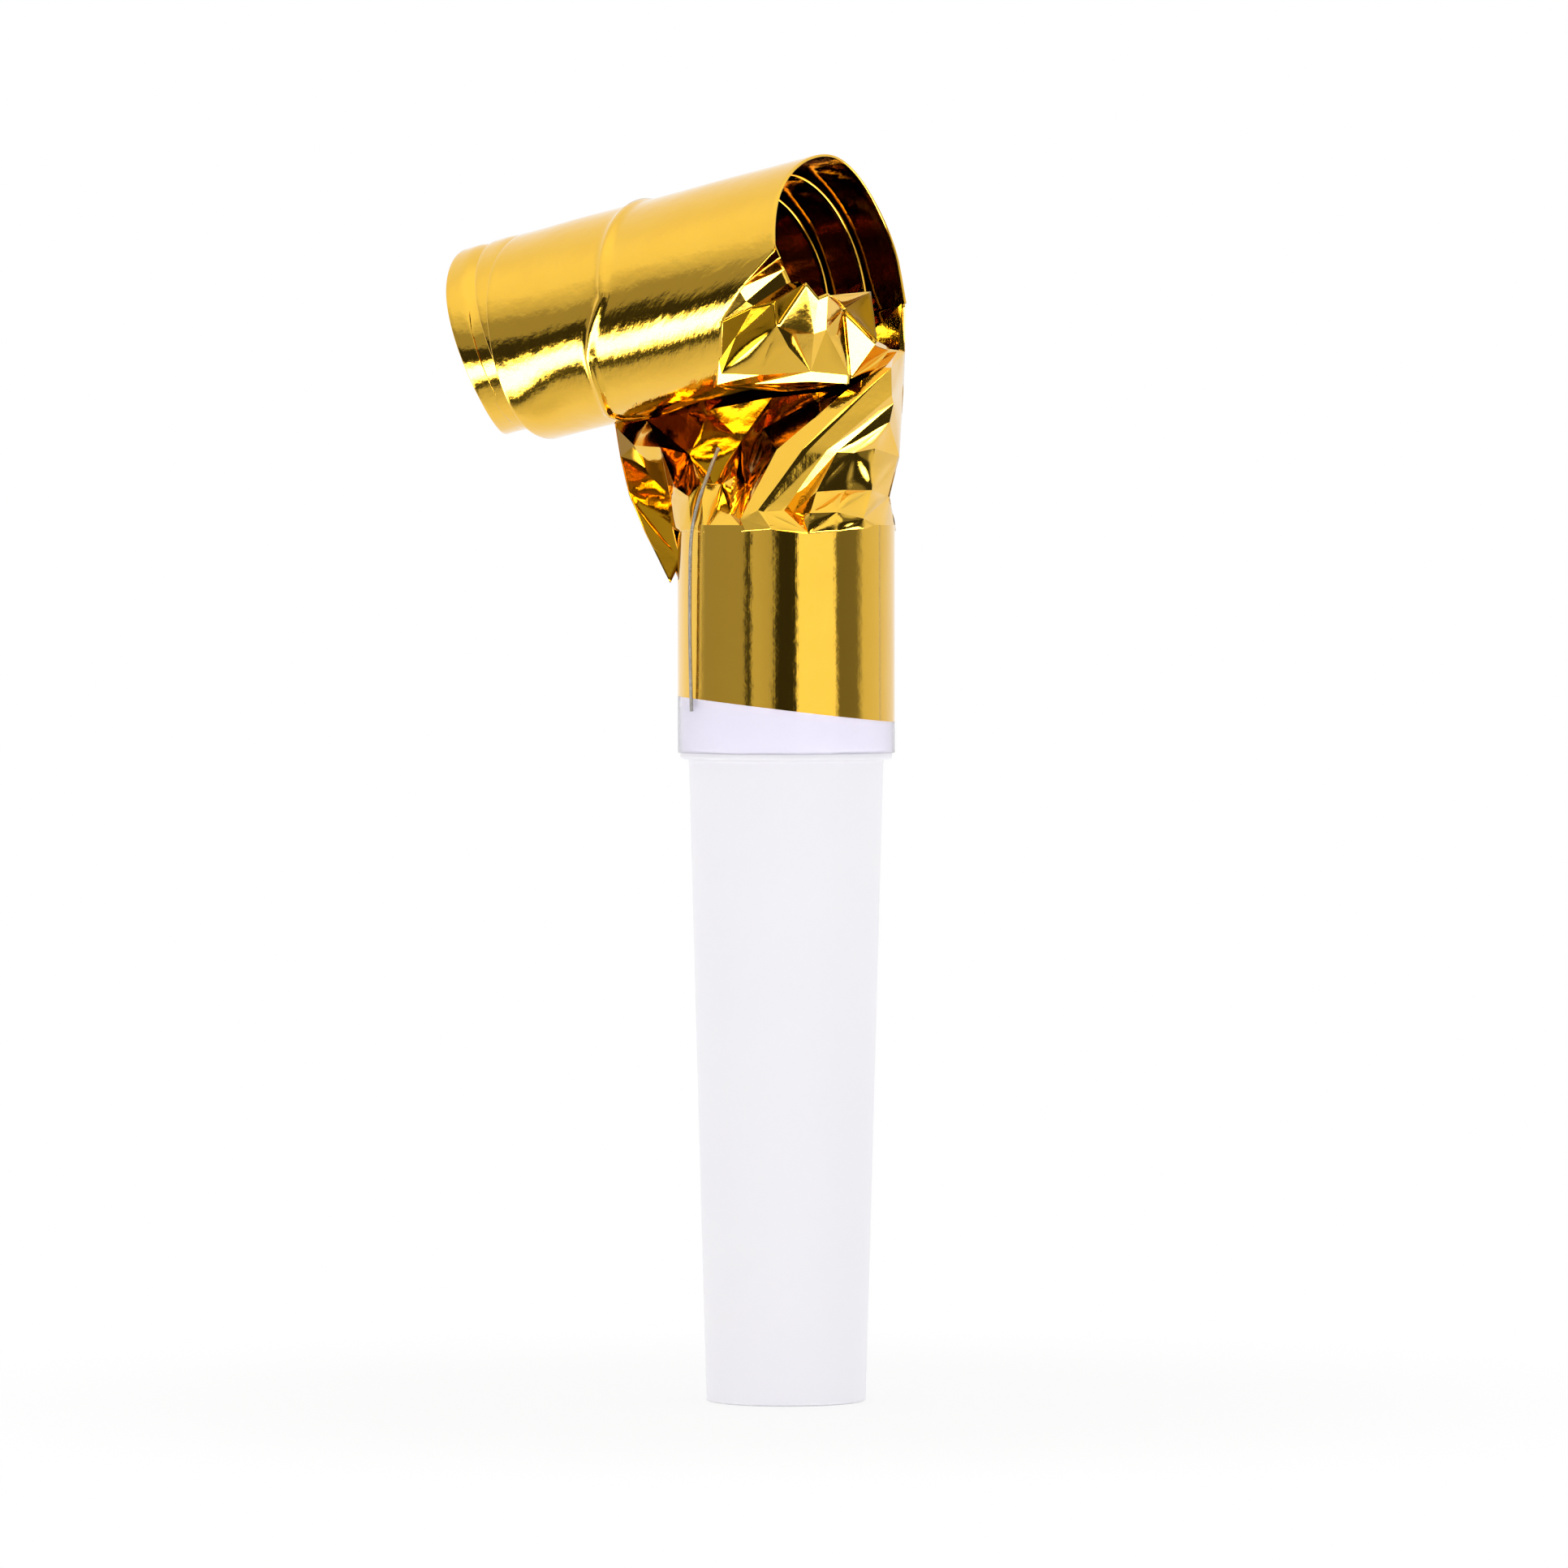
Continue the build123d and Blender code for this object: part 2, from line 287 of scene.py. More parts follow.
# The roll: the film tube pressed flat, then curled by a rule. Turn 0 is the back of the roll, 90 its top.
# Sizes are in mm, turns in degrees, and what ends in At or Wide lies along the turn, where 1 is once round
roll = {
    "radius": 9.947,  # outer face at turn 0, from the spiral's mean centre
    "pitch": 0.75,
    "drift": 3.5,
    "width": 31.0,
    "film": 0.26,  # both layers
    "tilt": 12.0,
    "centre": (-4.9735, -6.9469, 101.0107),
    "links": 20,
    "linkTurn": 45.0,
    "firstTurn": -22.5,
    "wireTurn": 1035.0,
    "lastTurn": 1080.0,
    "rowTurn": 1.875,
    "columns": 84,
    "foldSteps": 5,
    "wave": 0.36,
    "waveRate": (85.0, 1.15, 1.0),  # waves per metre across and per radian
    "wavePlace": 3.7,
    "edgeWave": 1.3,
    "edgeFrom": (10.0, 15.5),
    "farEnd": (-10.5, -14.0),
    "wraps": ((0.85, 1.1), (1.85, 2.1)),  # turns over which the second and third wrap start
    "flare": 0.72,  # for each wrap further in
    "flareAt": 85 / 360,
    "flareWide": 62 / 360,
    "pull": 3.3,
    "pullAt": 215 / 360,
    "pullWide": 80 / 360,
    "reach": 0.8,
    "reachAt": 85 / 360,
    "reachWide": 35 / 360,
    "nearEnd": (9.0, 15.5),
    "bulge": 0.5,
    "bulgeAt": (-0.0135, math.radians(232), 3.7),  # metres across, radians, wave place
    "bulgeWide": (0.004, math.radians(22), 1.0),
    "ridge": 0.32,
    "ridgeWide": 0.42,
    "wireAcross": -2.9,
    "wireHalf": (0.25, 0.1),
    "wireSides": 8,
    # where the smooth wrap meets the crumple, in photo pixels, and how it tucks in under it
    "smoothTo": {
        "top": (962, 317),
        "bend": (910, 356),
        "tip": (886, 397),
        "side": (886, 444),
        "foot": (879, 477),
    },
    "tuck": 0.4,
    "tuckLead": 0.012,
    "tuckTrail": (0.03, 0.04),
    "smoothAt": 0.81,
}
rollAxis = Vector((math.cos(math.radians(roll["tilt"])), 0, math.sin(math.radians(roll["tilt"]))))
rollUp = Vector((-math.sin(math.radians(roll["tilt"])), 0, math.cos(math.radians(roll["tilt"]))))
rollCentre = Vector(roll["centre"])


def onRoll(turnHere, along, lift):  # a place on the wrap, along its own middle line, in mm from its face
    a = math.radians(turnHere)
    reachHere = roll["radius"] - roll["pitch"] * max(turnHere, 0) / 360 + lift
    if turnHere < 0:  # the straight start, below the roll
        outward, upward = reachHere, a * roll["radius"]
    else:
        along -= roll["drift"] * turnHere / 360
        outward, upward = reachHere * math.cos(a), reachHere * math.sin(a)
    return (rollCentre + rollAxis * along + Vector((0, outward, 0)) + rollUp * upward) * mm


def whereOnRoll(px, py):  # turn and mm along of the outer wrap's near face at a photo pixel
    ray = spot(px, py, 0) - eye
    start = eye / mm - rollCentre
    axes = (rollAxis, Vector((0, 1, 0)), rollUp)
    x0, y0, z0 = (start.dot(v) for v in axes)
    x1, y1, z1 = (ray.dot(v) for v in axes)
    turnHere = 180.0
    for _ in range(6):
        reachHere = roll["radius"] - roll["pitch"] * turnHere / 360
        a, b, c = y1 * y1 + z1 * z1, y0 * y1 + z0 * z1, y0 * y0 + z0 * z0 - reachHere * reachHere
        t = (-b - math.sqrt(max(b * b - a * c, 0))) / a
        turnHere = math.degrees(math.atan2(z0 + t * z1, y0 + t * y1)) % 360
    return turnHere, x0 + t * x1 + roll["drift"] * turnHere / 360


# share of the film's width that stays smooth, along the first turn
meeting = {name: whereOnRoll(*place) for name, place in roll["smoothTo"].items()}
tucked = [
    (t / 360, (along + roll["tuck"] + roll["width"] / 2) / roll["width"]) for t, along in meeting.values()
]
leadIn = (tucked[0][0] - roll["tuckLead"], 1.0)
trail = (tucked[-1][0] + roll["tuckTrail"][0], tucked[-1][1] + roll["tuckTrail"][1])
shares = [(0.0, 1.0), leadIn, *tucked[1:], trail, (roll["smoothAt"], 1.0), (1.0, 1.0)]

mathKind, vectorKind, rangeKind = "ShaderNodeMath", "ShaderNodeVectorMath", "ShaderNodeMapRange"
curlSizes = {
    "Radius": "radius",
    "Pitch": "pitch",
    "Drift": "drift",
    "Width": "width",
    "Wave": "wave",
    "Ridge": "ridge",
    "Ridge Wide": "ridgeWide",
    "Wire Across": "wireAcross",
    "Flare": "flare",
    "Pull": "pull",
    "Reach": "reach",
    "Bulge": "bulge",
}
curlValues = {label: roll[size] * mm for label, size in curlSizes.items()}
curlTree, given = newTree("curlFilmTube", curlSizes)
tree = curlTree


def bell(tree, value, middle, wide):  # 1 at the middle, 1 / e a width away
    off = addNode(tree, mathKind, {0: value, 1: middle}, operation="SUBTRACT")
    share = addNode(tree, mathKind, {0: off, 1: wide}, operation="DIVIDE")
    fall = addNode(tree, mathKind, {0: share, 1: share}, operation="MULTIPLY")
    return addNode(tree, mathKind, {0: 1 / math.e, 1: fall}, operation="POWER")


turnAt, across, height = (
    addNode(tree, "GeometryNodeInputNamedAttribute", {"Name": label}, data_type="FLOAT").outputs[0]
    for label in ("turn", "across", "height")
)
angle = addNode(tree, mathKind, {0: turnAt}, operation="RADIANS")
curled = addNode(tree, mathKind, {0: angle, 1: 0.0}, operation="MAXIMUM")
straight = addNode(tree, mathKind, {0: angle, 1: 0.0}, operation="MINIMUM")
turns = addNode(tree, mathKind, {0: curled, 1: 2 * math.pi}, operation="DIVIDE")
ofTurn = addNode(tree, mathKind, {0: turns}, operation="FRACT")
# the wire's ridge, a soft bell across the film
ridgeBell = bell(tree, across, given["Wire Across"], given["Ridge Wide"])
# long waves in the film, taller towards its folded edges
filmPlace = addNode(tree, "ShaderNodeCombineXYZ", {0: across, 1: angle, 2: roll["wavePlace"]})
wavePlace = addNode(tree, vectorKind, {0: filmPlace, 1: roll["waveRate"]}, operation="MULTIPLY")
waveLook = {"Scale": 1.0, "Detail": 1.0, "Roughness": 0.4}
waves = addNode(tree, "ShaderNodeTexNoise", waveLook | {"Vector": wavePlace})
offMiddle = addNode(tree, mathKind, {0: across}, operation="ABSOLUTE")
edgeFrom, edgeTo = (size * mm for size in roll["edgeFrom"])
edgeRange = {0: offMiddle, 1: edgeFrom, 2: edgeTo, 3: 1.0, 4: roll["edgeWave"]}
nearEdge = addNode(tree, rangeKind, edgeRange, interpolation_type="SMOOTHSTEP")
waveShare = addNode(tree, mathKind, {0: waves, 1: 0.5}, operation="SUBTRACT")
# at the far end the inner wraps flare at the top until they are flush, and the film bulges low at the front
farFrom, farTo = (size * mm for size in roll["farEnd"])
atEnd = addNode(tree, rangeKind, {0: across, 1: farFrom, 2: farTo}, interpolation_type="SMOOTHSTEP")
secondWrap, thirdWrap = (
    addNode(tree, rangeKind, {0: turns, 1: start, 2: full}, interpolation_type="SMOOTHSTEP")
    for start, full in roll["wraps"]
)
inward = addNode(tree, mathKind, {0: secondWrap, 1: thirdWrap}, operation="ADD")
flareBell = bell(tree, ofTurn, roll["flareAt"], roll["flareWide"])
bulgePlace = addNode(tree, vectorKind, {0: filmPlace, 1: roll["bulgeAt"]}, operation="SUBTRACT")
bulgeWide = addNode(tree, vectorKind, {0: bulgePlace, 1: roll["bulgeWide"]}, operation="DIVIDE")
bulgeFar = addNode(tree, vectorKind, {0: bulgeWide, 1: bulgeWide}, operation="DOT_PRODUCT").outputs["Value"]
bulgeBell = addNode(tree, mathKind, {0: 1 / math.e, 1: bulgeFar}, operation="POWER")
wound = addNode(tree, mathKind, {0: turns, 1: given["Pitch"]}, operation="MULTIPLY")
reach = addNode(tree, mathKind, {0: given["Radius"], 1: wound}, operation="SUBTRACT")
reach = addNode(tree, mathKind, {0: reach, 1: height}, operation="ADD")
lifts = {
    "Ridge": [ridgeBell],
    "Wave": [waveShare, nearEdge],
    "Bulge": [bulgeBell],
    "Flare": [atEnd, inward, flareBell],
}
for label, (lift, *shapes) in lifts.items():
    for factor in (*shapes, given[label]):
        lift = addNode(tree, mathKind, {0: lift, 1: factor}, operation="MULTIPLY")
    reach = addNode(tree, mathKind, {0: reach, 1: lift}, operation="ADD")
# the outer wrap is drawn narrower where the crumple takes up its near edge, and each wrap drifts sideways
smooth = addNode(tree, "ShaderNodeFloatCurve", {"Value": turns})
points = smooth.mapping.curves[0].points
for place, share in shares[1:-1]:
    points.new(place, share)
points[0].location, points[-1].location = shares[0], shares[-1]
for point in points:
    point.handle_type = "VECTOR"
smooth.mapping.update()
halfWide = addNode(tree, mathKind, {0: given["Width"], 1: 0.5}, operation="MULTIPLY")
fromEdge = addNode(tree, mathKind, {0: across, 1: halfWide}, operation="ADD")
keptWide = addNode(tree, mathKind, {0: fromEdge, 1: smooth}, operation="MULTIPLY")
kept = addNode(tree, mathKind, {0: keptWide, 1: halfWide}, operation="SUBTRACT")
drifted = addNode(tree, mathKind, {0: turns, 1: given["Drift"]}, operation="MULTIPLY")
shifted = addNode(tree, mathKind, {0: kept, 1: drifted}, operation="SUBTRACT")
# low at the front the inner wraps' far edge is drawn in; at the top the outer wrap's near edge reaches out
innerEnd = addNode(tree, mathKind, {0: atEnd, 1: secondWrap}, operation="MULTIPLY")
pullBell = bell(tree, ofTurn, roll["pullAt"], roll["pullWide"])
pullEnd = addNode(tree, mathKind, {0: pullBell, 1: innerEnd}, operation="MULTIPLY")
pulled = addNode(tree, mathKind, {0: pullEnd, 1: given["Pull"], 2: shifted}, operation="MULTIPLY_ADD")
nearFrom, nearTo = (size * mm for size in roll["nearEnd"])
nearSide = addNode(tree, rangeKind, {0: across, 1: nearFrom, 2: nearTo})
reachBell = bell(tree, turns, roll["reachAt"], roll["reachWide"])
reachEnd = addNode(tree, mathKind, {0: reachBell, 1: nearSide}, operation="MULTIPLY")
axial = addNode(tree, mathKind, {0: reachEnd, 1: given["Reach"], 2: pulled}, operation="MULTIPLY_ADD")
cosine = addNode(tree, mathKind, {0: curled}, operation="COSINE")
sine = addNode(tree, mathKind, {0: curled}, operation="SINE")
hanging = addNode(tree, mathKind, {0: straight, 1: given["Radius"]}, operation="MULTIPLY")
upward = addNode(tree, mathKind, {0: reach, 1: sine, 2: hanging}, operation="MULTIPLY_ADD")
backward = addNode(tree, mathKind, {0: reach, 1: cosine}, operation="MULTIPLY")
curledPlace = addNode(tree, "ShaderNodeCombineXYZ", {0: axial, 1: backward, 2: upward})
curl = addNode(tree, "GeometryNodeSetPosition", {"Geometry": given["Geometry"], "Position": curledPlace})
moved = {"Translation": [c * mm for c in roll["centre"]], "Rotation": (0, -math.radians(roll["tilt"]), 0)}
placed = addNode(tree, "GeometryNodeTransform", {"Geometry": curl} | moved)
endTree(tree, placed, given["Material"])


def bandQuads(rows, columns):  # faces of a tube of rings
    i = np.arange(rows - 1)[:, None] * columns
    j = np.arange(columns)[None, :]
    k = (j + 1) % columns
    return np.stack([i + j, i + columns + j, i + columns + k, i + k], -1).reshape(-1, 4).tolist()


def curlBand(ring, firstTurn, lastTurn, material):  # ring: (across, height) in mm round the flat tube
    rows = round((lastTurn - firstTurn) / roll["rowTurn"]) + 1
    turnsHere = np.linspace(firstTurn, lastTurn, rows)
    columns = len(ring)
    acrossAll = np.tile([p[0] * mm for p in ring], rows)
    heightAll = np.tile([p[1] * mm for p in ring], rows)
    turnAll = np.repeat(turnsHere, columns)
    lengthAll = np.radians(turnAll) * roll["radius"] * mm
    flat = bpy.data.meshes.new("flatTube")
    flat.from_pydata(np.stack([acrossAll, lengthAll, heightAll], 1).tolist(), [], bandQuads(rows, columns))
    for label, values in (("turn", turnAll), ("across", acrossAll), ("height", heightAll)):
        flat.attributes.new(label, "FLOAT", "POINT").data.foreach_set("value", values.astype(np.float32))
    pressed = toObject("flatTube", flat, material)
    mesh = runTree(pressed, curlTree, curlValues | {"Material": material})
    bpy.data.objects.remove(pressed)
    places = np.zeros(len(mesh.vertices) * 3, np.float32)
    mesh.vertices.foreach_get("co", places)
    normals = np.zeros(len(mesh.vertices) * 3, np.float32)
    mesh.vertex_normals.foreach_get("vector", normals)
    return places.reshape(rows, columns, 3), normals.reshape(rows, columns, 3), turnsHere


def stretchOf(band, ring, name, firstTurn, lastTurn, material, inside=None):  # one piece of a curled band
    places, normals, turnsHere = band
    picked = np.where((turnsHere > firstTurn - 0.01) & (turnsHere < lastTurn + 0.01))[0]
    rows, columns = len(picked), len(ring)
    mesh = bpy.data.meshes.new(name)
    mesh.from_pydata(places[picked].reshape(-1, 3).tolist(), [], bandQuads(rows, columns))
    mesh.shade_smooth()
    filmMap = mesh.uv_layers.new(name="film")
    corner = np.zeros(len(mesh.loops), np.int32)
    mesh.loops.foreach_get("vertex_index", corner)
    width = np.array([p[0] + p[1] for p in ring])[corner % columns]
    length = np.radians(turnsHere[picked])[corner // columns] * roll["radius"]
    filmMap.data.foreach_set("uv", np.stack([width, length], 1).astype(np.float32).ravel())
    mesh.normals_split_custom_set_from_vertices(normals[picked].reshape(-1, 3).tolist())
    piece = toObject(name, mesh, material)
    if inside:  # the layer that faces the core gets the painted shade material
        column = np.tile(np.arange(columns), rows - 1)
        paintedShadeFaces = (column >= columns // 2) & (column <= columns - roll["foldSteps"])
        mesh.materials.append(inside)
        mesh.polygons.foreach_set("material_index", paintedShadeFaces.astype(np.int32))
    return piece


def tubeRing(width, thick, columns, foldSteps, top=0.0):  # outer layer, fold, inner layer, fold
    half, bend = width / 2 - thick / 2, thick / 2
    outer = [(-half + 2 * half * i / columns, top) for i in range(columns + 1)]
    swings = [math.pi * i / foldSteps for i in range(1, foldSteps)]
    right = [(half + bend * math.sin(a), top - bend + bend * math.cos(a)) for a in swings]
    inner = [(x, top - thick) for x, _ in reversed(outer)]
    return outer + right + inner + [(-x, y) for x, y in reversed(right)]


filmRing = tubeRing(roll["width"], roll["film"], roll["columns"], roll["foldSteps"])
filmBand = curlBand(filmRing, roll["firstTurn"], roll["lastTurn"], rollGold)
wireWide, wireTall = roll["wireHalf"]
wireRing = [
    (roll["wireAcross"] + wireWide * math.cos(a), -roll["film"] - wireTall + wireTall * math.sin(a))
    for a in np.linspace(math.pi, -math.pi, roll["wireSides"] + 1)[:-1]
]
wireBand = curlBand(wireRing, roll["firstTurn"], roll["wireTurn"], wireSteel)
for k in range(roll["links"] + 1):
    start, end = roll["linkTurn"] * (k - 0.5), roll["linkTurn"] * (k + 0.5)
    film = stretchOf(filmBand, filmRing, f"roll_film_{k:02d}", start, end, rollGold, paintedShadeGold)
    wire = stretchOf(wireBand, wireRing, f"curl_wire_{k:02d}", start, end, wireSteel)
    for piece, kind, slot in ((film, "foil", "gold_film"), (wire, "wire", "spring_wire")):
        onRoll(start, 0, 0)
        onRoll(end, 0, 0)
        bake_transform(piece)
        if k:
            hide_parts(f"{kind}_link_{k:02d}")
tailTurn = roll["linkTurn"] * (roll["links"] + 0.5)
tailFilm = stretchOf(filmBand, filmRing, "roll_film_tail", tailTurn, roll["lastTurn"], rollGold, paintedShadeGold)
tailWire = stretchOf(wireBand, wireRing, "curl_wire_tail", tailTurn, roll["wireTurn"], wireSteel)

# End fold: the film's end, turned over once more under the last of the roll
endTurn = {"width": roll["width"] - 0.4, "thick": 0.24, "columns": 40, "foldSteps": 5, "top": -0.3}
foldRing = tubeRing(**endTurn)
foldBand = curlBand(foldRing, roll["wireTurn"], roll["lastTurn"], foldGold)
endFold = stretchOf(foldBand, foldRing, "end_fold_film", roll["wireTurn"], roll["lastTurn"], foldGold)
for piece, node, slot in (
    (tailFilm, "foil_tail", "gold_film"),
    (tailWire, "wire_tail", "spring_wire"),
    (endFold, "end_fold", "gold_film"),
):
    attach(piece, "tail")
    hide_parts(node)
print("roll curled:", len(filmRing), "columns")

# Mouthpiece: tapered tube and collar, with the small radii a mould leaves
mouth = {
    "mouthR": 7.3,
    "shoulderR": 8.9,
    "shoulderZ": 58.8,
    "wall": 1.0,
    "collarR": 9.7,
    "collarZ": 80.0,
    "ledge": 1.2,
    "round": 0.3,
    "steps": 160,
}
sharpFrom = math.radians(40)  # a turned piece's edges stay crisp from this angle


def ringShell(name, outline, steps, material):  # turns a closed (radius, height) outline, in mm
    angles = np.linspace(0, 2 * math.pi, steps, endpoint=False)
    count = len(outline)
    places = [(r * math.cos(a) * mm, r * math.sin(a) * mm, z * mm) for a in angles for r, z in outline]
    i = np.arange(steps)[:, None]
    j = np.arange(count)[None, :]
    k = (j + 1) % count
    ahead = (i + 1) % steps
    quads = np.stack([i * count + j, ahead * count + j, ahead * count + k, i * count + k], -1).reshape(-1, 4)
    mesh = bpy.data.meshes.new(name)
    mesh.from_pydata(places, [], quads.tolist())
    mesh.shade_smooth()
    mesh.set_sharp_from_angle(angle=sharpFrom)
    return toObject(name, mesh, material)


def rounded(outline, radius, steps=4, most=0.4):  # by a share of a side at most
    result = []
    for i, here in enumerate(outline):
        here, before, after = Vector(here), Vector(outline[i - 1]), Vector(outline[(i + 1) % len(outline)])
        cut = min(radius, (before - here).length * most, (after - here).length * most)
        a, b = here + (before - here).normalized() * cut, here + (after - here).normalized() * cut
        shares = [s / steps for s in range(steps + 1)]
        result += [tuple(a.lerp(here, t).lerp(here.lerp(b, t), t)) for t in shares]
    return result


outline = [
    (mouth["mouthR"] - mouth["wall"], 0),
    (mouth["mouthR"], 0),
    (mouth["shoulderR"], mouth["shoulderZ"]),
    (mouth["collarR"], mouth["shoulderZ"]),
    (mouth["collarR"], mouth["collarZ"]),
    (mouth["collarR"] - mouth["wall"], mouth["collarZ"]),
    (mouth["collarR"] - mouth["wall"], mouth["shoulderZ"] + mouth["ledge"]),
    (mouth["shoulderR"] - mouth["wall"], mouth["shoulderZ"] + mouth["ledge"]),
]
mouthTube = ringShell("mouthpiece_tube", rounded(outline, mouth["round"]), mouth["steps"], milky)
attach(mouthTube, "mouthpiece")
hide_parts("mouthpiece")
for node, material in (
    ("reed_holder", reedWhite),
    ("reed_wedge", reedWhite),
    ("clip_ring", reedWhite),
    ("reed_tongue", reedFilm),
    ("glue_band", driedGlue),
):
    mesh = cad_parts[node].data
    mesh.materials.clear()
    mesh.materials.append(material)
print("mouthpiece turned")

# Cuff: the film glued round the collar, gold above a slanted edge and clear below
cuff = {
    "radius": 9.95,
    "film": 0.14,
    "edgeZ": 63.4,
    "edgeSlant": 6.8,
    "edgeGap": 0.02,
    "marginZ": 59.4,
    "topZ": 80.2,
    "rise": 2.6,
    "riseTurn": 218,
    "riseShare": 0.1,
    "steps": 180,
    "rows": 44,
    "wave": 0.05,
    "waveRound": 3.2,
    "waveTall": 22,
}


def cuffWave(a, z):
    x, y = cuff["waveRound"] * math.cos(a), cuff["waveRound"] * math.sin(a)
    return cuff["wave"] * noise.noise(Vector((x, y, z / cuff["waveTall"])))


def cuffEdge(a):
    r = cuff["radius"]
    sideways = toRight.x * r * math.cos(a) + toRight.y * r * math.sin(a)
    return cuff["edgeZ"] - math.tan(math.radians(cuff["edgeSlant"])) * sideways


def cuffTop(a):  # stands higher at the front left, where no fold reaches it
    away = math.cos(a - math.radians(cuff["riseTurn"]))
    return cuff["topZ"] + cuff["rise"] * max(0, away - (1 - cuff["riseShare"])) / cuff["riseShare"]


def sleeve(name, lowest, highest, material):  # a thin band round the collar between two edges
    rows, steps, film = cuff["rows"], cuff["steps"], cuff["film"]
    places, rings = [], []
    rises = [i / rows for i in range(rows + 1)]
    for shell, levels in ((0, rises), (1, rises[::-1])):
        for share in levels:
            ring = []
            for s in range(steps):
                a = 2 * math.pi * s / steps
                z = lowest(a) + (highest(a) - lowest(a)) * share
                r = cuff["radius"] + cuffWave(a, z) - shell * film
                ring.append(len(places))
                places.append((r * math.cos(a) * mm, r * math.sin(a) * mm, z * mm))
            rings.append(ring)
    quads = []
    for i, ring in enumerate(rings):
        above = rings[(i + 1) % len(rings)]
        quads += [(ring[s], ring[(s + 1) % steps], above[(s + 1) % steps], above[s]) for s in range(steps)]
    mesh = bpy.data.meshes.new(name)
    mesh.from_pydata(places, [], quads)
    mesh.shade_smooth()
    mesh.set_sharp_from_angle(angle=sharpFrom)
    filmMap = mesh.uv_layers.new(name="film")
    for loop in mesh.loops:
        s = loop.vertex_index % steps
        around = s / steps * 2 * math.pi * cuff["radius"]
        filmMap.data[loop.index].uv = (around, places[loop.vertex_index][2] / mm)
    return toObject(name, mesh, material)


cuffFilm = sleeve("cuff_film", cuffEdge, cuffTop, foldGold)
marginFilm = sleeve(
    "margin_film", lambda a: cuff["marginZ"], lambda a: cuffEdge(a) - cuff["edgeGap"], clearFilm
)
for piece, node, slot in ((cuffFilm, "foil_cuff", "gold_film"), (marginFilm, "film_margin", "clear_film")):
    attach(piece, "mouthpiece")
    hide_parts(node)
print("cuff wrapped")

# Creased film: flat facets between crisp folds. Sizes in mm, the crease in degrees
creaseLook = {
    "steps": 10,
    "jitter": 0.04,
    "rate": 0.35,
    "crease": 12,
    "film": 0.08,
    "weld": 1e-4,
    "leanStep": 0.04,
    "leanTries": 80,
    "seed": 1,
}
noise.seed_set(creaseLook["seed"])  # without it the jitter's offsets come from the clock


def mapFilm(mesh, places):  # the film's map in mm, as seen from the photograph's side
    filmMap = mesh.uv_layers.new(name="film")
    for loop in mesh.loops:
        point = places[loop.vertex_index] / mm
        filmMap.data[loop.index].uv = (point.dot(toRight), point.z)


def thicken(sheet, film):  # a wall behind the drawn face
    wall = sheet.modifiers.new("wall", "SOLIDIFY")
    wall.thickness, wall.offset = film * mm, -1
    thick = bpy.data.meshes.new_from_object(sheet.evaluated_get(bpy.context.evaluated_depsgraph_get()))
    sheet.modifiers.clear()
    sheet.data = thick


# a facet is three corners and, where it isn't flat, its bulge in mm
def creasedSheet(name, corners, facets, look, material, shadedCorners=()):
    steps = look["steps"]
    found, places, faces, shaded = {}, [], [], []

    def vertex(point):
        key = tuple(round(c / (look["weld"] * mm)) for c in point)
        if key not in found:
            found[key] = len(places)
            places.append(point)
        return found[key]

    for facet in facets:
        a, b, c = (corners[n] for n in facet[:3])
        bulge = facet[3] if len(facet) > 3 else 0.0
        normal = (b - a).cross(c - a).normalized()
        if normal.dot(sightAhead) > 0:
            b, c, normal = c, b, -normal
        grid = {}
        before = len(faces)
        for i in range(steps + 1):
            for j in range(steps + 1 - i):
                s, t = i / steps, j / steps
                point = a * (1 - s - t) + b * s + c * t
                # 27 makes the bulge whole at the facet's middle
                point = point + normal * (bulge * mm * 27 * s * t * (1 - s - t))
                point = point + noise.noise_vector(point / mm * look["rate"]) * look["jitter"] * mm
                grid[i, j] = vertex(point)
        for i in range(steps):
            for j in range(steps - i):
                faces.append((grid[i, j], grid[i + 1, j], grid[i, j + 1]))
                if i + j < steps - 1:
                    faces.append((grid[i + 1, j], grid[i + 1, j + 1], grid[i, j + 1]))
        # facets whose three corners are all in shadedCorners get the painted shade material
        shaded += [int(set(facet[:3]) <= set(shadedCorners))] * (len(faces) - before)
    mesh = bpy.data.meshes.new(name)
    mesh.from_pydata([tuple(p) for p in places], [], faces)
    mesh.shade_smooth()
    mesh.set_sharp_from_angle(angle=math.radians(look["crease"]))
    mapFilm(mesh, places)
    sheet = toObject(name, mesh, material)
    mesh.materials.append(paintedShadeGold)
    mesh.polygons.foreach_set("material_index", shaded)
    thicken(sheet, look["film"])
    return sheet


def mirrorHeight(a, b, c):  # degrees above the horizon that a facet mirrors to the viewpoint
    normal = (b - a).cross(c - a).normalized()
    return math.degrees(math.asin(sightAhead.reflect(normal).z))


# A corner is (photo px across, px down, mm deep), and then, where what a facet mirrors is plain in the
# photograph, the facet's other two corners and the height in degrees that it mirrors, to which it is leant
def settled(corners, found):
    found = dict(found)
    tries = range(-creaseLook["leanTries"], creaseLook["leanTries"] + 1)
    for name, (px, py, deep, *facet) in corners.items():
        if facet:
            a, b, height = found[facet[0]], found[facet[1]], facet[2]
            depths = [deep + step * creaseLook["leanStep"] for step in tries]
            deep = min(
                depths, key=lambda d: abs(mirrorHeight(a, b, spot(px, py, d)) - height) + abs(d - deep)
            )
        found[name] = spot(px, py, deep)
    return found


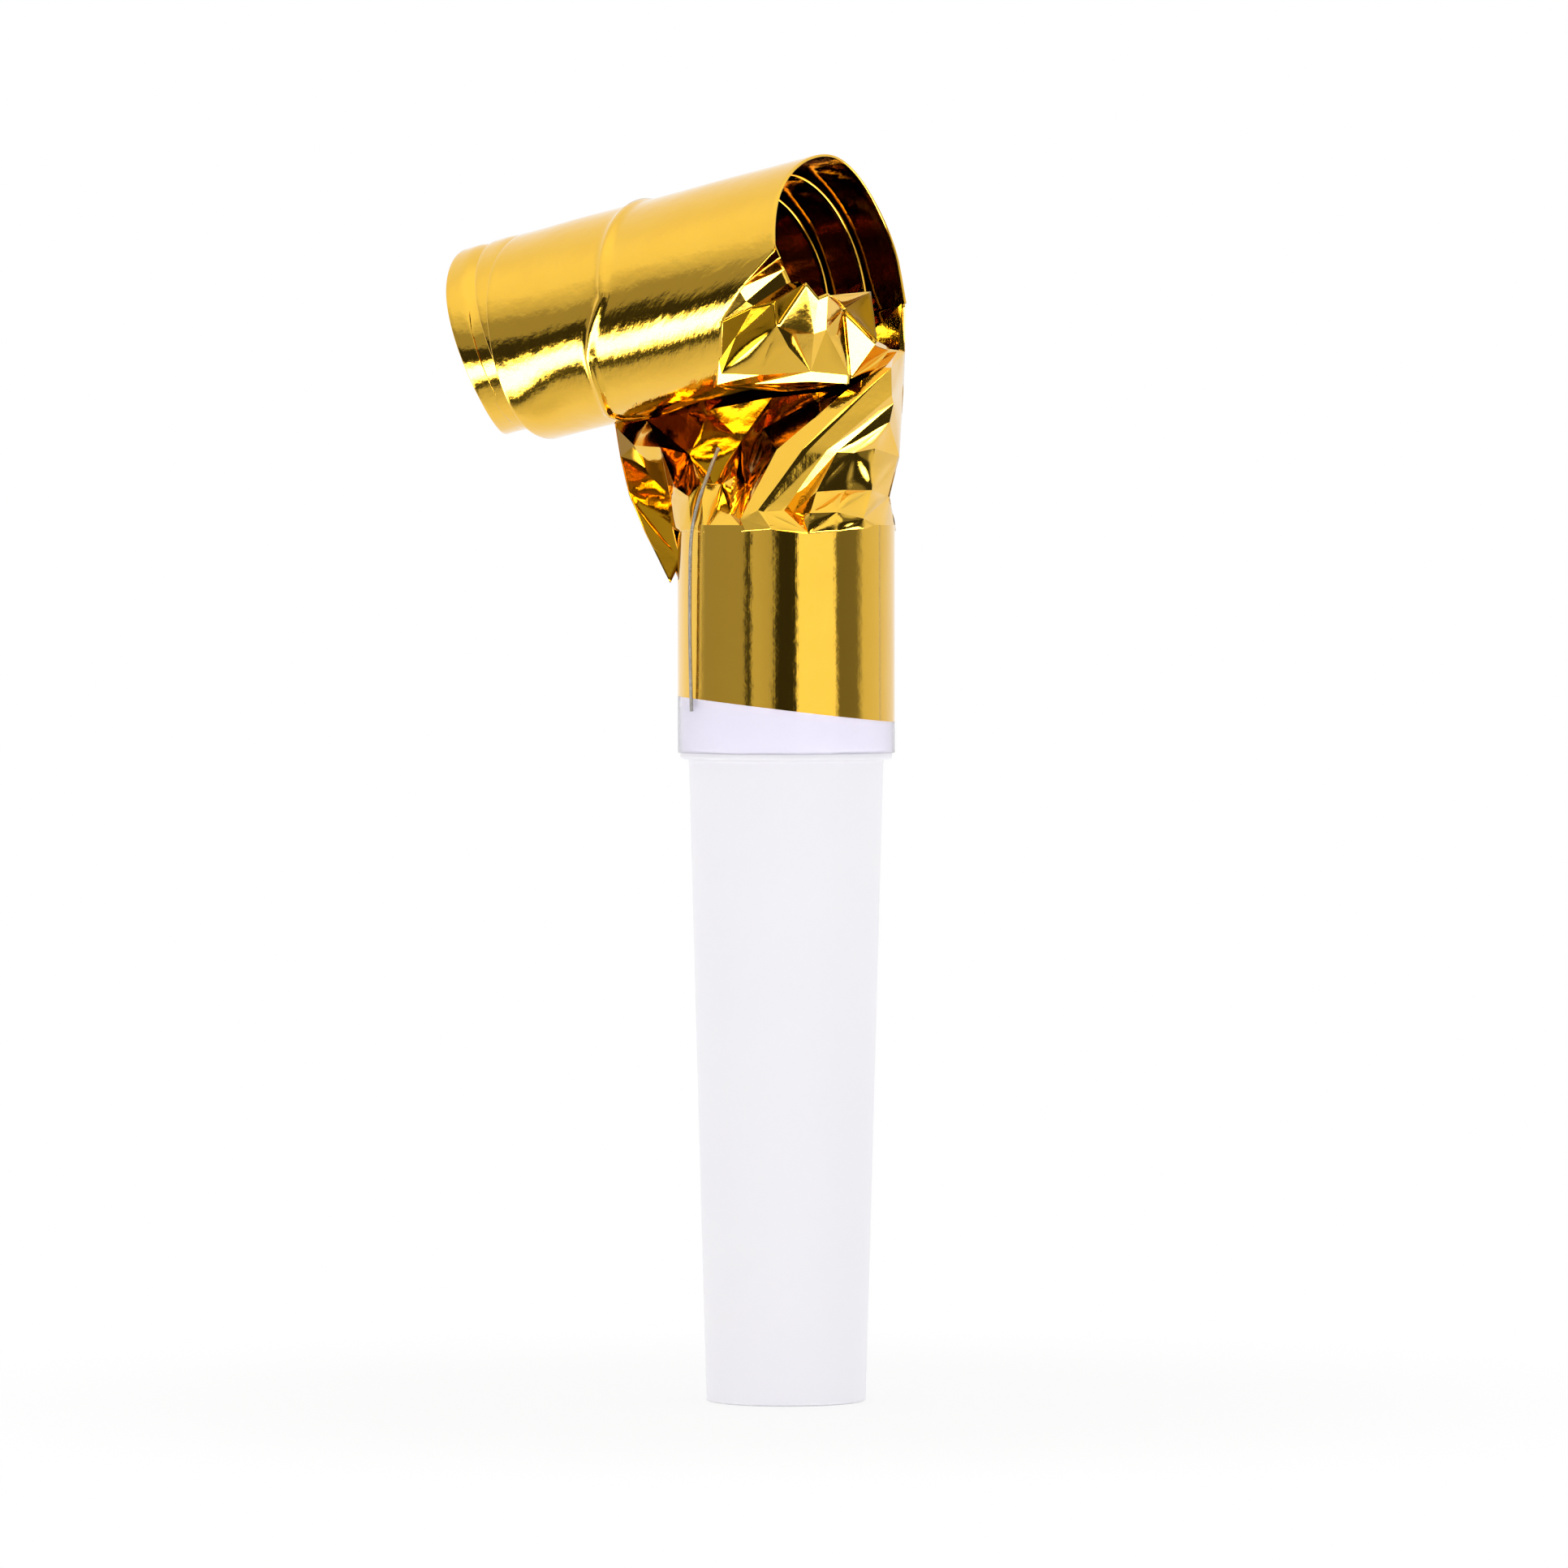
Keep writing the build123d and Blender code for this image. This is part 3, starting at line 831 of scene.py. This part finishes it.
# Crumple at the roll's near end: where it sits on the roll, in mm off its face, and its free corners
crumpleSeat = {
    "lift": 0.06,
    "guts": {"gut1": (952, 374), "gut2": (905, 418)},
    "gutLift": -0.4,
    "rimBack": 9,
    "rimAlong": 15.5,
    "rimLift": 0.05,
}
crumple = {
    "strip1": (967, 331, -17.0, "top", "bend", -36), "strip2": (919, 371, -15.6, "bend", "strip1", -36),
    "dark1": (974, 347, -17.0, "strip1", "strip2", -15), "dark2": (928, 377, -15.4, "strip2", "dark1", -15),
    "apex": (993, 348, -17.4), "ridge1": (957, 402, -15.4), "ridge2": (889, 461, -11.6),
    "blob1": (1008, 366, -16.6), "blob2": (1020, 361, -16.2),
    "blob3": (1003, 411, -14.8, "blob1", "blob2", -36), "blob4": (1018, 406, -14.6, "blob2", "blob3", -36),
    "hemLeft": (935, 462, -12.0, "ridge1", "ridge2", -66),
    "patch1": (976, 412, -14.4, "ridge1", "hemLeft", -66),
    "patch2": (999, 458, -11.8, "hemLeft", "patch1", -66),
    "patch3": (972, 428, -13.6, "patch1", "patch2", -15), "shoulder": (1040, 381, -12.4),
    "corner": (1047, 463, -10.6), "lip0": (884, 474, -11.4, "ridge2", "hemLeft", -36),
    "lip1": (930, 473, -11.6, "hemLeft", "patch2", -36), "lip2": (998, 470, -11.4, "patch2", "lip1", -36),
    "lip3": (1046, 473, -10.2, "corner", "lip2", -36), "under": (965, 482, -7.0),
    "underBack": (1000, 478, -4.0), "spike": (1073, 359, -9.0), "spikeFoot": (1022, 364, -16.0),
    "spikeEnd": (1081, 420, -10.0, "shoulder", "corner", -36),
}
crumpleStart = {name: onRoll(*place, crumpleSeat["lift"]) for name, place in meeting.items()}
for name, pixel in crumpleSeat["guts"].items():
    crumpleStart[name] = onRoll(*whereOnRoll(*pixel), crumpleSeat["gutLift"])
rimTurn = meeting["top"][0] - crumpleSeat["rimBack"]
crumpleStart["rim"] = onRoll(rimTurn, crumpleSeat["rimAlong"], crumpleSeat["rimLift"])
crumpleCorners = settled(crumple, crumpleStart)
upperFacets = [
    ("rim", "top", "strip1"), ("top", "bend", "strip1"), ("bend", "strip2", "strip1"),
    ("bend", "tip", "strip2"), ("strip1", "strip2", "dark1"), ("strip2", "dark2", "dark1"),
    ("strip2", "tip", "dark2"), ("dark1", "dark2", "gut1"), ("dark1", "gut1", "apex"),
    ("gut1", "ridge1", "apex", -0.1),
]
lowerFacets = [
    ("dark2", "tip", "gut2"), ("dark2", "gut2", "gut1"), ("gut1", "gut2", "ridge1", -0.1),
    ("gut2", "ridge2", "ridge1", -0.1), ("tip", "side", "gut2"), ("side", "ridge2", "gut2"),
    ("side", "lip0", "ridge2"), ("side", "foot", "lip0"), ("ridge1", "ridge2", "hemLeft", 0.1),
    ("ridge1", "hemLeft", "patch3", 0.05), ("ridge1", "patch3", "patch1"), ("patch1", "patch3", "patch2"),
    ("patch3", "hemLeft", "patch2"), ("apex", "ridge1", "blob3", 0.05), ("ridge1", "patch1", "blob3"),
    ("apex", "blob3", "blob1"), ("blob1", "blob3", "blob4"), ("blob1", "blob4", "blob2"),
    ("blob3", "patch1", "patch2"), ("blob3", "patch2", "blob4"), ("blob4", "patch2", "corner", 0.05),
    ("blob2", "blob4", "shoulder"), ("blob4", "corner", "shoulder", 0.1), ("ridge2", "lip0", "hemLeft"),
    ("hemLeft", "lip0", "lip1"), ("hemLeft", "lip1", "patch2"), ("patch2", "lip1", "lip2"),
    ("patch2", "lip2", "corner"), ("corner", "lip2", "lip3"), ("lip0", "under", "lip1", 0.1),
    ("foot", "under", "lip0"), ("lip1", "under", "lip2", 0.1), ("lip2", "under", "lip3", 0.1),
    ("under", "underBack", "lip3"), ("spikeFoot", "spike", "shoulder", 0.1),
    ("spike", "spikeEnd", "shoulder", -0.4),
]
# the crumple's facets among these corners are drawn in the painted shade material
crumplePaintedShade = [name for name in crumpleCorners if name.startswith(("dark", "gut", "ridge"))]
crumplePaintedShade += ["apex", "tip", "side", "spike", "spikeEnd", "shoulder"]
upper = creasedSheet("crumple_upper", crumpleCorners, upperFacets, creaseLook, foldGold, crumplePaintedShade)
lower = creasedSheet("crumple_lower", crumpleCorners, lowerFacets, creaseLook, foldGold, crumplePaintedShade)
onRoll(157.5, 12, 0)
onRoll(202.5, 12, 0)
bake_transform(upper)
onRoll(202.5, 12, 0)
onRoll(247.5, 12, 0)
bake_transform(lower)
print("crumple folded")

# Neck front: the tube's near layer, pinched into folds
neck = {
    "wing1": (758, 526, 8.6), "wing2": (764, 563, 7.2), "wing3": (775, 609, 4.8), "wing4": (794, 655, 3.0),
    "wing5": (826, 718, 1.2), "wingTop": (752, 450, 11.6), "lip": (781, 549, 5.0), "fold": (813, 551, 1.5),
    "crease": (800, 586, 5.6), "wingIn": (832, 618, 4.0), "wingLow": (839, 690, 1.5),
    "cheek": (827, 616, -1.5), "cheekLow": (829, 652, -1.0), "lipL1": (832, 600, -3.4),
    "lipL2": (848, 612, -5.6), "lipL3": (864, 596, -5.0), "rimA": (838, 655, -3.4),
    "rimB": (852, 655, -5.2), "rimC": (867, 656, -6.6), "rimD": (918, 655, -9.3), "rimE": (951, 653, -9.95),
    "rimF": (995, 658, -9.9), "rimG": (1031, 655, -8.9), "rimH": (1064, 652, -7.1),
    "rimI": (1090, 652, -4.3), "rimJ": (1104, 654, 0.0), "lipR1": (907, 586, -4.5),
    "lipR2": (900, 634, -7.6), "lipR3": (888, 597, -4.6), "fan1": (1048, 477, -8.8),
    "mid1": (957, 554, -8.2), "foot1": (912, 640, -9.2), "fan2": (1094, 449, -6.6, "fan1", "mid1", 30),
    "mid2": (989, 554, -8.6, "fan2", "mid1", 30), "foot2": (934, 629, -9.6, "mid2", "foot1", 30),
    "fan3": (1098, 453, -6.4, "fan2", "mid2", -15), "mid3": (996, 555, -8.4, "fan3", "mid2", -15),
    "foot3": (941, 631, -9.6, "mid3", "foot2", -15), "fan4": (1099, 487, -5.0, "fan3", "mid3", 16),
    "mid4": (1019, 555, -8.0, "fan4", "mid3", 16), "foot4": (966, 629, -9.6, "mid4", "foot3", 16),
    "fan5": (1101, 497, -4.6, "fan4", "mid4", -36), "mid5": (1031, 557, -7.6, "fan5", "mid4", -36),
    "foot5": (977, 632, -9.6, "mid5", "foot4", -36), "fan6": (1096, 520, -4.6, "fan5", "mid5", -15),
    "edge1": (1115, 433, -1.5), "edge2": (1113, 486, -1.0), "edge3": (1108, 563, -0.5),
    "edge4": (1096, 612, -0.8), "patchA": (1078, 553, -5.2), "patchC": (1052, 558, -6.8),
    "patchB": (1074, 604, -6.0, "patchA", "patchC", -15),
    "patchD": (1040, 604, -8.0, "patchB", "patchC", -15),
    "patchE": (1006, 606, -9.2, "mid5", "patchC", -15), "smileA": (1031, 631, -9.0),
    "smileB": (1064, 639, -7.4), "flap": (998, 632, -10.4), "flapTip": (995, 656, -10.3),
    "under1": (798, 517, 7.5), "under2": (874, 505, 2.0), "under3": (951, 490, -2.0),
    "under4": (1024, 482, -6.0), "deep1": (850, 560, 1.0), "deep2": (913, 543, -0.5),
    "deep3": (940, 528, -3.0), "deepLow": (878, 600, -1.0), "deepRight": (919, 596, -5.0),
    "back1": (780, 440, 11.0), "back2": (870, 440, 6.0), "back3": (960, 440, 2.0),
    "back4": (1040, 440, -1.0), "back5": (1108, 430, -2.0),
}
# it goes on, behind the roll, to the line where the strip starts to curl: mm along that line and off its face
neckTop = {"along": (-15.2, -7.6, 0, 7.6, 15.2), "lift": -0.5}
neckStart = {
    f"start{i}": onRoll(roll["firstTurn"], along, neckTop["lift"])
    for i, along in enumerate(neckTop["along"], 1)
}
neckCorners = settled(neck, neckStart)
neckFacets = [
    ("wing5", "wing4", "wingLow"), ("wing4", "wing3", "wingLow", 0.1), ("wingLow", "wing3", "wingIn", 0.1),
    ("wing3", "crease", "wingIn", -0.1), ("wing3", "wing2", "crease"), ("wing2", "lip", "crease", 0.1),
    ("wing2", "wing1", "lip"), ("lip", "fold", "crease", 0.1), ("crease", "fold", "wingIn", -0.1),
    ("wing1", "under1", "lip", -0.1), ("under1", "fold", "lip"), ("wing1", "wingTop", "under1"),
    ("wingTop", "back1", "under1"), ("fold", "lipL1", "cheek"), ("lipL1", "lipL2", "cheek", 0.05),
    ("fold", "deep1", "lipL1", -0.2), ("lipL1", "deep1", "lipL2", -0.2), ("deep1", "lipL3", "lipL2", -0.1),
    ("under1", "under2", "deep1", -0.2), ("under1", "deep1", "fold", -0.1),
    ("under2", "deep2", "deep1", 0.1), ("deep1", "deep2", "deepLow", 0.1),
    ("deep1", "deepLow", "lipL3", -0.1), ("deepLow", "lipR3", "lipL3", 0.1),
    ("deepLow", "deep2", "lipR3", 0.2), ("under2", "under3", "deep2", -0.1),
    ("under3", "deep3", "deep2", 0.1), ("under3", "under4", "deep3", -0.1), ("under4", "fan1", "deep3"),
    ("deep2", "lipR1", "lipR3", 0.1), ("lipR3", "lipR1", "lipR2", -0.3), ("lipR3", "lipR2", "rimC", 0.1),
    ("deep2", "deepRight", "lipR1", -0.1), ("deep2", "deep3", "deepRight", -0.1),
    ("deep3", "mid1", "deepRight", -0.1), ("deep3", "fan1", "mid1"), ("lipR1", "deepRight", "lipR2", 0.2),
    ("deepRight", "foot1", "lipR2", 0.1), ("deepRight", "mid1", "foot1", 0.1), ("lipR2", "foot1", "rimD"),
    ("lipR2", "rimD", "rimC", 0.05), ("cheek", "lipL2", "rimA", 0.05), ("cheek", "rimA", "cheekLow", 0.05),
    ("lipL2", "rimB", "rimA", 0.05), ("lipL2", "lipL3", "rimB", 0.05), ("lipL3", "rimC", "rimB", 0.05),
    ("lipL3", "lipR3", "rimC", 0.1), ("fan5", "fan6", "mid5"), ("mid5", "fan6", "patchC", 0.05),
    ("mid5", "patchC", "patchE", 0.05), ("mid5", "patchE", "foot5"), ("fan3", "edge1", "fan4"),
    ("edge1", "edge2", "fan4", 0.05), ("fan4", "edge2", "fan5"), ("fan5", "edge2", "edge3", 0.1),
    ("fan5", "edge3", "fan6"), ("fan6", "edge3", "patchA", -0.1), ("fan6", "patchA", "patchC", 0.1),
    ("patchA", "edge3", "patchB", 0.1), ("edge3", "edge4", "patchB", 0.05),
    ("patchA", "patchB", "patchC", 0.15), ("patchC", "patchB", "patchD", -0.1),
    ("patchC", "patchD", "patchE", 0.05), ("patchE", "patchD", "flap", 0.05), ("patchE", "flap", "foot5"),
    ("patchD", "smileA", "flap", 0.1), ("patchD", "patchB", "smileA", 0.2),
    ("patchB", "smileB", "smileA", -0.1), ("patchB", "edge4", "smileB", 0.1),
    ("edge4", "rimI", "smileB", 0.1), ("edge4", "rimJ", "rimI", 0.05), ("smileB", "rimI", "rimH", 0.05),
    ("smileA", "smileB", "rimG", 0.1), ("smileB", "rimH", "rimG", 0.05),
    ("flap", "smileA", "flapTip", 0.05), ("smileA", "rimG", "rimF", 0.05), ("smileA", "rimF", "flapTip"),
    ("foot5", "flap", "flapTip", 0.1), ("foot4", "foot5", "flapTip"), ("foot3", "foot4", "flapTip", 0.05),
    ("foot3", "flapTip", "rimE", 0.05), ("foot2", "foot3", "rimE"), ("foot1", "foot2", "rimE"),
    ("foot1", "rimE", "rimD"), ("fan3", "back5", "edge1"), ("fan1", "under4", "fan2"),
    ("under4", "back5", "fan2"), ("fan2", "back5", "fan3"), ("flapTip", "rimF", "rimE"),
    ("fold", "cheek", "wingIn"), ("wingIn", "cheek", "wingLow"), ("cheek", "cheekLow", "wingLow"),
    ("wingTop", "start1", "back1"), ("back5", "start5", "edge1"),
]
for i in range(1, 5):  # bands between rows of corners
    for high, low in (("fan", "mid"), ("mid", "foot"), ("start", "back"), ("back", "under")):
        neckFacets.append((f"{high}{i}", f"{high}{i + 1}", f"{low}{i}"))
        if f"{low}{i + 1}" in neckCorners:
            neckFacets.append((f"{high}{i + 1}", f"{low}{i + 1}", f"{low}{i}"))
# the neck's facets among these corners, in the hollow under the roll and on the wing, are drawn in the
# painted shade material
neckPaintedShade = [name for name in neckCorners if name.startswith(("under", "deep", "back", "start", "wing"))]
neckPaintedShade += ["lipR1", "mid1", "fan1", "crease", "lip"]
neckFront = creasedSheet("neck_front_film", neckCorners, neckFacets, creaseLook, foldGold, neckPaintedShade)

# Gusset between the crumple and the neck's near edge
gusset = {
    "shoulder": (1040, 381, -12.3), "corner": (1047, 467, -10.3),
    "tip": (1081, 420, -10.0, "shoulder", "corner", -36), "edge": (1097, 430, -7.0, "tip", "corner", -15),
    "low": (1078, 455, -7.4), "edgeBack": (1115, 433, -1.4),
}
gussetFacets = [
    ("shoulder", "tip", "corner"), ("tip", "edge", "corner"), ("edge", "low", "corner", 0.1),
    ("edge", "edgeBack", "low"),
]
gussetFilm = creasedSheet("gusset_film", settled(gusset, {}), gussetFacets, creaseLook, foldGold)

# Neck back: the tube's far layer, as long across as the strip is wide, so its bulge follows from its chord
backSheet = {
    "columns": 72,
    "rows": 56,
    "film": 0.08,
    "half": 15.4,
    "lift": -0.2,
    "offCuff": 0.02,
    "meets": 0.12,
    "ripple": 0.4,
    "rippleAcross": 9,
    "rippleLean": 2,
    "rippleUp": 1.7,
    "ripplePlace": 5.1,
    "rippleFade": 5,
}


def alongEdge(stops, t):
    t = min(max(t, 0), 1) * (len(stops) - 1)
    i = min(int(t), len(stops) - 2)
    return stops[i].lerp(stops[i + 1], t - i)


def bowAngle(chord):  # half angle of an arc as long as the strip is wide
    low, high = 0.0001, math.pi / 2
    for _ in range(30):
        middle = (low + high) / 2
        low, high = (middle, high) if math.sin(middle) / middle > chord / roll["width"] else (low, middle)
    return low


def backRipple(p, t):  # fades out at all four edges
    across = backSheet["rippleAcross"] * p + backSheet["rippleLean"] * t
    wave = noise.noise(Vector((across, backSheet["rippleUp"] * t, backSheet["ripplePlace"])))
    fade = backSheet["rippleFade"]
    return wave * math.sin(math.pi * p) * min(1, fade * t) * min(1, fade * (1 - t))


leftEdge = [neckCorners[n] for n in ("wing5", "wing4", "wing3", "wing2", "wing1", "wingTop")]
leftEdge.append(onRoll(roll["firstTurn"], -backSheet["half"], backSheet["lift"]))
rightEdge = [neckCorners[n] for n in ("rimJ", "edge4", "edge3", "edge2", "edge1")]
rightEdge.append(onRoll(roll["firstTurn"], backSheet["half"], backSheet["lift"]))
places = []
for i in range(backSheet["rows"] + 1):
    t = i / backSheet["rows"]
    left, right = alongEdge(leftEdge, t), alongEdge(rightEdge, t)
    chord = (right - left).length / mm
    half = bowAngle(chord)
    outward = Vector((left.y - right.y, right.x - left.x, 0)).normalized()
    settle = min(1, t / backSheet["meets"])
    settle = settle * settle * (3 - 2 * settle)
    for j in range(backSheet["columns"] + 1):
        p = j / backSheet["columns"]
        swing = half * (2 * p - 1)
        share = (math.sin(swing) / math.sin(half) + 1) / 2
        bulge = (math.cos(swing) - math.cos(half)) / math.sin(half) * chord / 2
        bowed = left.lerp(right, share) + outward * ((bulge + backSheet["ripple"] * backRipple(p, t)) * mm)
        around = math.atan2(bowed.y, bowed.x)
        reachHere = (cuff["radius"] + backSheet["offCuff"]) * mm
        onCuff = Vector((math.cos(around) * reachHere, math.sin(around) * reachHere, bowed.z))
        places.append(onCuff.lerp(bowed, settle))
count = backSheet["columns"] + 1
firsts = [i * count + j for i in range(backSheet["rows"]) for j in range(count - 1)]
mesh = bpy.data.meshes.new("neck_back_film")
mesh.from_pydata([tuple(p) for p in places], [], [(f + count, f + count + 1, f + 1, f) for f in firsts])
mesh.shade_smooth()
mapFilm(mesh, places)
neckBack = toObject("neck_back_film", mesh, foldGold)
thicken(neckBack, backSheet["film"])
for piece in (neckFront, gussetFilm, neckBack):
    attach(piece, "mouthpiece")
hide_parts("foil_neck")
print("neck folded")

# Wire lead: the curl wire's free end, laid up the cuff; the photograph shows its fine cross ridges
lead = {
    "path": [
        (852, 876, -5.6), (850, 800, -5.7), (850, 720, -5.7), (851, 660, -5.8), (858, 625, -6.0),
        (870, 590, -5.2), (885, 553, -3.2),
    ],  # photo px across, px down, mm deep
    "wire": 0.30,
    "ridge": 0.045,
    "spacing": 0.22,
    "sides": 12,
    "ridgeSides": 5,
}
curve = bpy.data.curves.new("leadPath", "CURVE")
curve.dimensions = "3D"
spline = curve.splines.new("NURBS")
spline.points.add(len(lead["path"]) - 1)
for point, place in zip(spline.points, lead["path"]):
    point.co = (*spot(*place), 1)
spline.order_u = 3
spline.use_endpoint_u = True
tree, given = newTree("ridgedWire", ["Wire Radius", "Ridge Radius", "Spacing"])
circleKind, sweepKind = "GeometryNodeCurvePrimitiveCircle", "GeometryNodeCurveToMesh"
section = addNode(tree, circleKind, {"Resolution": lead["sides"], "Radius": given["Wire Radius"]})
bead = addNode(tree, circleKind, {"Resolution": lead["ridgeSides"], "Radius": given["Ridge Radius"]})
core = addNode(tree, sweepKind, {"Curve": given["Geometry"], "Profile Curve": section, "Fill Caps": True})
hoop = addNode(tree, sweepKind, {"Curve": section, "Profile Curve": bead})
spaced = {"Curve": given["Geometry"], "Length": given["Spacing"]}
stops = addNode(tree, "GeometryNodeCurveToPoints", spaced, mode="LENGTH")
turned = {"Points": stops, "Instance": hoop, "Rotation": stops.outputs["Rotation"]}
hoops = addNode(tree, "GeometryNodeInstanceOnPoints", turned)
both = addNode(tree, "GeometryNodeJoinGeometry")
tree.links.new(core.outputs[0], both.inputs[0])
tree.links.new(hoops.outputs[0], both.inputs[0])
endTree(tree, both, given["Material"])
leadLine = bpy.data.objects.new("leadPath", curve)
bpy.context.scene.collection.objects.link(leadLine)
leadValues = {
    "Wire Radius": lead["wire"] / 2 * mm,
    "Ridge Radius": lead["ridge"] * mm,
    "Spacing": lead["spacing"] * mm,
    "Material": wireSteel,
}
leadMesh = runTree(leadLine, tree, leadValues)
bpy.data.objects.remove(leadLine)
leadMesh.shade_smooth()
leadWire = toObject("wire_lead_ridged", leadMesh, wireSteel)
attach(leadWire, "mouthpiece")
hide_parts("wire_lead")
print("wire laid")

# Floor: a matt white card that shows the contact shadow and fades out to the white backdrop
floor = {"radius": 95, "shadeFrom": 30, "shade": 0.35, "segments": 96, "card": "#F4F4F4", "roughness": 0.9}
mesh = bpy.data.meshes.new("floorCard")
build = bmesh.new()
bmesh.ops.create_circle(build, cap_ends=True, segments=floor["segments"], radius=floor["radius"] * mm)
build.to_mesh(mesh)
build.free()
card, tree, shader = newMaterial("whiteCard")
shader.inputs["Base Color"].default_value = linear(floor["card"])
shader.inputs["Roughness"].default_value = floor["roughness"]
output = next(n for n in tree.nodes if n.type == "OUTPUT_MATERIAL")
place = addNode(tree, "ShaderNodeTexCoord").outputs["Object"]
away = addNode(tree, vectorKind, {0: place}, operation="LENGTH").outputs["Value"]
fade = {0: away, 1: floor["shadeFrom"] * mm, 2: floor["radius"] * mm, 3: floor["shade"], 4: 0.0}
near = addNode(tree, rangeKind, fade, interpolation_type="SMOOTHSTEP")
rays = addNode(tree, "ShaderNodeLightPath").outputs
white = addNode(tree, "ShaderNodeEmission", {"Color": (1, 1, 1, 1), "Strength": 1.0})
clear = addNode(tree, "ShaderNodeBsdfTransparent")
seen = addNode(tree, "ShaderNodeMixShader", {0: near, 1: white, 2: shader})
shown = addNode(tree, "ShaderNodeMixShader", {0: rays["Is Camera Ray"], 1: shader, 2: seen})
passed = addNode(tree, "ShaderNodeMixShader", {0: rays["Is Glossy Ray"], 1: shown, 2: clear})
tree.links.new(passed.outputs[0], output.inputs["Surface"])
floorCard = toObject("floorCard", mesh, card)

# Studio: white all round and above, and, for what the film mirrors, a dark room behind the camera with a
# bright low card. Stops are (degrees, brightness): the belt goes to the camera's right, the column upwards
studio = {
    "belt": [
        (-180, 1.0), (-112, 1.0), (-98, 0.36), (-46, 0.38), (-43, 0.05), (-39, 0.05), (-37, 0.6),
        (-15, 0.5), (-11, 0.03), (8, 0.03), (11, 1.25), (52, 1.2), (56, 0.18), (82, 0.2), (90, 0.75),
        (180, 1.0),
    ],
    "column": [
        (-90, 0.75), (-70, 0.8), (-60, 0.6), (-55, 0.07), (-49, 0.07), (-46, 4.0), (-40, 15.0), (-32, 15.0),
        (-27, 4.0), (-24, 0.03), (-7, 0.04), (-1, 0.36), (8, 0.55), (20, 0.8), (28, 1.05), (60, 1.2),
        (90, 1.2),
    ],
    "brightest": 16.0,
    "beltRise": (0.08, 0.2),
    "front": (-0.35, 0.1),
}
world = bpy.data.worlds.new("studio")
bpy.context.scene.world = world
world.use_nodes = True
tree = world.node_tree
tree.nodes.clear()
way = addNode(tree, "ShaderNodeTexCoord").outputs["Generated"]
toCamera = addNode(tree, vectorKind, {0: way, 1: -toBack}, operation="DOT_PRODUCT").outputs["Value"]
sideways = addNode(tree, vectorKind, {0: way, 1: toRight}, operation="DOT_PRODUCT").outputs["Value"]
rise = addNode(tree, "ShaderNodeSeparateXYZ", {0: way}).outputs[2]
bearing = addNode(tree, mathKind, {0: sideways, 1: toCamera}, operation="ARCTAN2")
azimuth = addNode(tree, mathKind, {0: bearing, 1: 1 / (2 * math.pi), 2: 0.5}, operation="MULTIPLY_ADD")
climb = addNode(tree, mathKind, {0: rise}, operation="ARCSINE")
elevation = addNode(tree, mathKind, {0: climb, 1: 1 / math.pi, 2: 0.5}, operation="MULTIPLY_ADD")
levels = []
for source, stops, half in ((azimuth, studio["belt"], 180), (elevation, studio["column"], 90)):
    ramp = addNode(tree, "ShaderNodeValToRGB", {0: source})
    elements = ramp.color_ramp.elements
    while len(elements) < len(stops):
        elements.new(0.5)
    for element, (place, shine) in zip(elements, stops):
        element.position = (place + half) / (2 * half)
        element.color = (*[shine / studio["brightest"]] * 3, 1)
    levels.append(addNode(tree, mathKind, {0: ramp, 1: studio["brightest"]}, operation="MULTIPLY"))
low, high = studio["beltRise"]
steep = addNode(tree, mathKind, {0: rise}, operation="ABSOLUTE")
level = addNode(tree, rangeKind, {0: steep, 1: low, 2: high, 3: 1.0, 4: 0.0}, interpolation_type="SMOOTHSTEP")
low, high = studio["front"]
inFront = addNode(tree, rangeKind, {0: toCamera, 1: low, 2: high}, interpolation_type="SMOOTHSTEP")
upFront = addNode(tree, "ShaderNodeMix", {0: inFront, 2: 1.0, 3: levels[1]})
mirrored = addNode(tree, "ShaderNodeMix", {0: level, 2: upFront, 3: levels[0]})
rays = addNode(tree, "ShaderNodeLightPath").outputs
strength = addNode(tree, "ShaderNodeMix", {0: rays["Is Glossy Ray"], 2: 1.0, 3: mirrored})
backdrop = addNode(tree, "ShaderNodeBackground", {"Color": (1, 1, 1, 1), "Strength": strength})
addNode(tree, "ShaderNodeOutputWorld", {"Surface": backdrop})
bpy.context.scene.view_settings.view_transform = "Standard"
print("studio lit")

bpy.context.view_layer.update()
